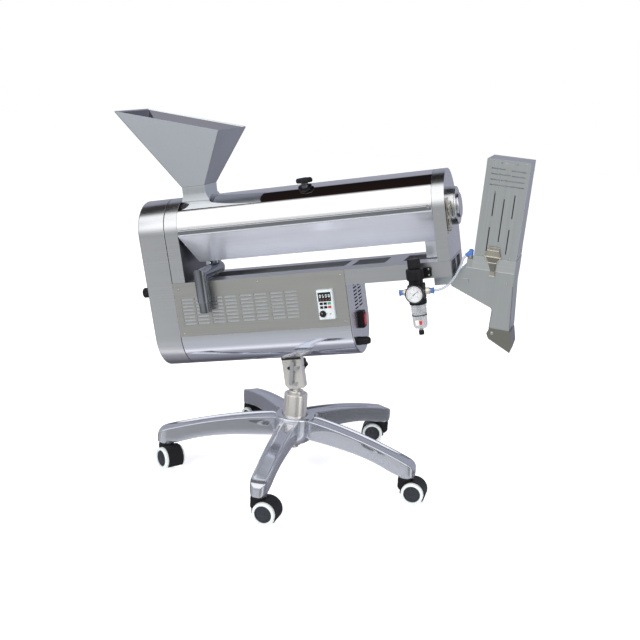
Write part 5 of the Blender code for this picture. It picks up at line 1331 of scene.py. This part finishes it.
def make_tower_latch():
    front, back = SORTER_FRONT - 0.0062, SORTER_FRONT - 0.0044
    upper = [(-0.0228, 0.0040), (0.0128, 0.0040), (0.0112, 0.0128), (0.0082, 0.0146), (0.0078, 0.0180),
             (-0.0200, 0.0180), (-0.0206, 0.0146), (-0.0236, 0.0126)]
    crown = [(-0.0185, 0.0195), (0.0065, 0.0195), (0.0078, 0.0265), (0.0050, 0.0274), (-0.0170, 0.0274),
             (-0.0198, 0.0265)]
    window = prism("y", rectangle((-0.0130, 0.0215), (0.0010, 0.0245)), front - 0.01, back + 0.01)
    plates = [prism("y", upper, front + 0.0004, back), cut(prism("y", crown, front - 0.0012, back - 0.0010),
                                                           window)]
    for low, high in ((-0.0206, -0.0186), (0.0064, 0.0084)):
        plates.append(box((low, front - 0.0016, 0.0146), (high, back, 0.0262)))
    bars = [rod((-0.0245, front - 0.0006, 0.0034), (0.0143, front - 0.0006, 0.0034), 0.0017, 20),
            rod((-0.0142, front - 0.0008, -0.0104), (0.0060, front - 0.0008, -0.0104), 0.0016, 20),
            rod((-0.0202, front - 0.0014, 0.0190), (0.0080, front - 0.0014, 0.0190), 0.0013, 20)]
    wires = [wire([(-0.0238, front - 0.0006, 0.0036), (-0.0140, front - 0.0008, -0.0100)], 0.0011),
             wire([(0.0136, front - 0.0006, 0.0036), (0.0058, front - 0.0008, -0.0100)], 0.0011),
             wire([(-0.0214, front - 0.0004, 0.0036), (-0.0208, front - 0.0004, 0.0150)], 0.0011),
             wire([(0.0108, front - 0.0004, 0.0036), (0.0094, front - 0.0004, 0.0150)], 0.0011)]
    barrel = prism("x", circle((LATCH_HINGE[1], LATCH_HINGE[2]), 0.0020, 24), -0.0064, 0.0055)
    tip = prism("y", arc((-0.0005, -0.0365), 0.0052, 180, 360, 20) + [(0.0050, -0.0300), (-0.0060, -0.0300)],
                front - 0.0016, back - 0.0004)
    shape = together(plates + bars + wires + [barrel, tip])
    piece("latch_frame", shape, NICKEL, "tower_latch", SORTER, ("sorter_latch",),
          bevel=0.0003)
    lever = [(-0.0058, -0.0300), (0.0049, -0.0300), (0.0054, -0.0120), (0.0098, 0.0028), (-0.0190, 0.0028),
             (-0.0134, -0.0120)]
    face = prism("y", lever, front - 0.0004, back)
    ridge = box((-0.0045, front - 0.0030, -0.0300), (0.0036, front, -0.0135))
    piece("latch_lever", together([face, ridge]), OLIVE_STEEL, "tower_latch", SORTER,
          bevel=0.0005)


def make_flap_trim():
    front = SORTER_FRONT - 0.0026
    head = button((0.0190, -0.1785), 0.0036, front - 0.0022, front - 0.0034)
    edge = [rod((0.0080, front - 0.0002, -0.1815), (0.0126, front - 0.0002, -0.1930), 0.0006, 8),
            rod((0.0126, front - 0.0002, -0.1930), (0.0660, front - 0.0002, -0.2196), 0.0007, 8)]
    piece("flap_screw", head, SCREW_STEEL, "outlet", SORTER)
    piece("flap_edge", together(edge), WELD_STEEL, "outlet", SORTER)


def make_cover_latch():
    """A draw latch seen from its side: a base strip, a bowed lever, a wire loop and their pins."""
    base_low, face = 0.4058, 0.4074
    strip = box((base_low, -0.0775, 0.1345), (face, -0.0565, 0.2040))
    line = [(0.4098, 0.1370), (0.4120, 0.1480), (0.4136, 0.1600), (0.4138, 0.1720), (0.4126, 0.1840),
            (0.4106, 0.1930)]
    outline = [(u + 0.0008, w) for u, w in line] + [(u - 0.0008, w) for u, w in reversed(line)]
    lever = prism("y", outline, -0.0770, -0.0570)
    hook = [(0.4100, 0.1925), (0.4122, 0.1960), (0.4120, 0.2020), (0.4098, 0.2080), (0.4078, 0.2090),
            (0.4074, 0.2075), (0.4092, 0.2058), (0.4104, 0.2010), (0.4104, 0.1965), (0.4090, 0.1940)]
    claw = prism("y", hook, -0.0735, -0.0605)
    pins = []
    for u, w, radius in ((0.4098, 0.1370, 0.0022), (0.4106, 0.1520, 0.0020), (0.4120, 0.1650, 0.0024),
                         (0.4112, 0.1790, 0.0022), (0.4108, 0.1905, 0.0026), (0.4110, 0.1985, 0.0018),
                         (0.4086, 0.2070, 0.0020)):
        pins.append(prism("y", circle((u, w), radius, 20), -0.0785, -0.0555))
    loops = [wire([(0.4112, v, 0.1520), (0.4138, v, 0.1700), (0.4110, v, 0.1985)], 0.0012)
             for v in (-0.0778, -0.0562)]
    shape = together([strip, lever, claw] + pins + loops)
    piece("cover_clamp", shape, NICKEL, "toggle_latch", replaces=("cover_latch",),
          bevel=0.0003)


def make_cover_trim():
    """The cover's rolled front hem and the seams beside it."""
    radius = CASING_RADIUS
    lean = asin((COVER_EDGE + 0.0012 - HIGH_CENTRE) / radius)
    front, height = -radius * cos(lean), COVER_EDGE + 0.0010
    hem = rod((COVER_LEFT, front, height), (COVER_RIGHT, front, height), 0.0013, 16)
    piece("cover_hem", hem, COVER_STEEL, "cover")
    left, right = BAND_RIGHT + 0.002, POST_LEFT - 0.002
    front, height = -radius - 0.0001, RIM_TOP - 0.0012
    rim = rod((left, front, height), (right, front, height), 0.0011, 16)
    height = RIM_BOTTOM + 0.0006
    fold = rod((left, -radius, height), (right, -radius, height), 0.0009, 16)
    piece("trough_hem", together([rim, fold]), MIRROR_STEEL, "machine")
    sleeve = lathe("z", (PIPE_U, 0), [(0.0130, 0.1002), (0.0146, 0.1002), (0.0146, 0.1056),
                                      (0.0130, 0.1056)], 64)
    piece("pipe_flange", sleeve, PIPE_STEEL, "machine")
    tip = lathe("z", (PIPE_U, PIPE_V), [(0.0131, -0.0119), (0.0156, -0.0119), (0.0156, -0.0104),
                                        (0.0149, -0.0098), (0.0131, -0.0098)], 64, tube=True)
    piece("nozzle_lip", tip, PIPE_STEEL, "machine")


def make_bracket_trim():
    middle, half = -0.0515, 0.0260
    depth = 0.0125
    pads = []
    for v in (-1, 1):
        drop = CASING_RADIUS - (CASING_RADIUS**2 - depth**2) ** 0.5
        level = LOW_CENTRE - CASING_RADIUS + drop
        low = v * depth - 0.0012 if v > 0 else -depth - 0.0006
        pads.append(box((middle - half - 0.0006, low, level - 0.0075), (middle + half + 0.0006, low + 0.0018,
                                                                        level - 0.0012)))
    piece("bracket_gasket", together(pads), BELT_RUBBER, "machine")
    head = lathe("z", (middle - 0.012, -0.0300), [(0.0001, -0.1640), (0.0030, -0.1637), (0.0046, -0.1626),
                                                  (0.0050, -0.1612), (0.0050, -0.1580)], 28)
    piece("shell_bolt", head, SCREW_STEEL, "machine")


def make_painted_shades():
    """Painted shade and reflection: dark sheets behind the louvres and the end plate's slots, a dark sheet in the
    gap at the chamber's left end for its dark reflection, a dark skin inside the hopper, and a darker strip on the
    trough's rim.
    """
    # Painted shade: black sheets behind the side louvres and the end plate's slots stand in for the shade inside
    # the casing.
    side = box((-0.3120, -0.0849, -0.0700), (0.1400, -0.0841, 0.0240))
    end = prism("x", round_bottom(0.0045, SHELL_TOP - 0.002, 48), CASING_RIGHT - 0.0036,
                CASING_RIGHT - 0.0029)
    piece("vent_painted_shades", together([side, end]), PAINTED_SHADE_BLACK, "machine")
    # Painted reflection: a dark sheet on the band plate's face in the gap stands in for the dark reflection its
    # mirror face shows there.
    painted_reflection = box((BAND_RIGHT + 0.0001, -0.0840, FRAME_TOP + 0.0006), (BAND_RIGHT + 0.0007, 0.0600, 0.1800))
    piece("chamber_painted_reflection", painted_reflection, DARK_STEEL, "machine")
    rim = box((BAND_RIGHT + 0.0020, -0.0875, 0.1868), (POST_LEFT - 0.0020, -0.0869, 0.1950))
    piece("trough_rim", rim, RIM_STEEL, "machine")
    # Painted shade: a dark skin just inside the hopper's walls stands in for the shade in its hollow.
    outer, inner = ([hopper_ring(*HOPPER_TOP, inset), hopper_ring(*HOPPER_NECK, inset)]
                    for inset in (0.0018, 0.0022))
    for ring in (outer[0], inner[0]):
        ring[:] = [tuple(Vector(corner).lerp(Vector(low), 0.015)) for corner, low in zip(ring, outer[1])]
    piece("hopper_painted_shade", loft(outer + inner[::-1], cyclic=True), HOPPER_SHADE_STEEL, "cover")


# ---------------------------------------------------------------- all the pieces, in order

for make in (make_star_base, make_casters, make_column, make_lower_shell, make_end_plate, make_louvres,
             make_head, make_right_head, make_cover, make_cover_knob, make_hopper, make_suction_pipe,
             make_controls, make_switches, make_head_screw, make_regulator, make_gauge, make_bowl,
             make_hose, make_elbow, make_screws, make_sorter_trim, make_tower_latch, make_flap_trim,
             make_cover_latch, make_cover_trim, make_bracket_trim, make_painted_shades):
    make()
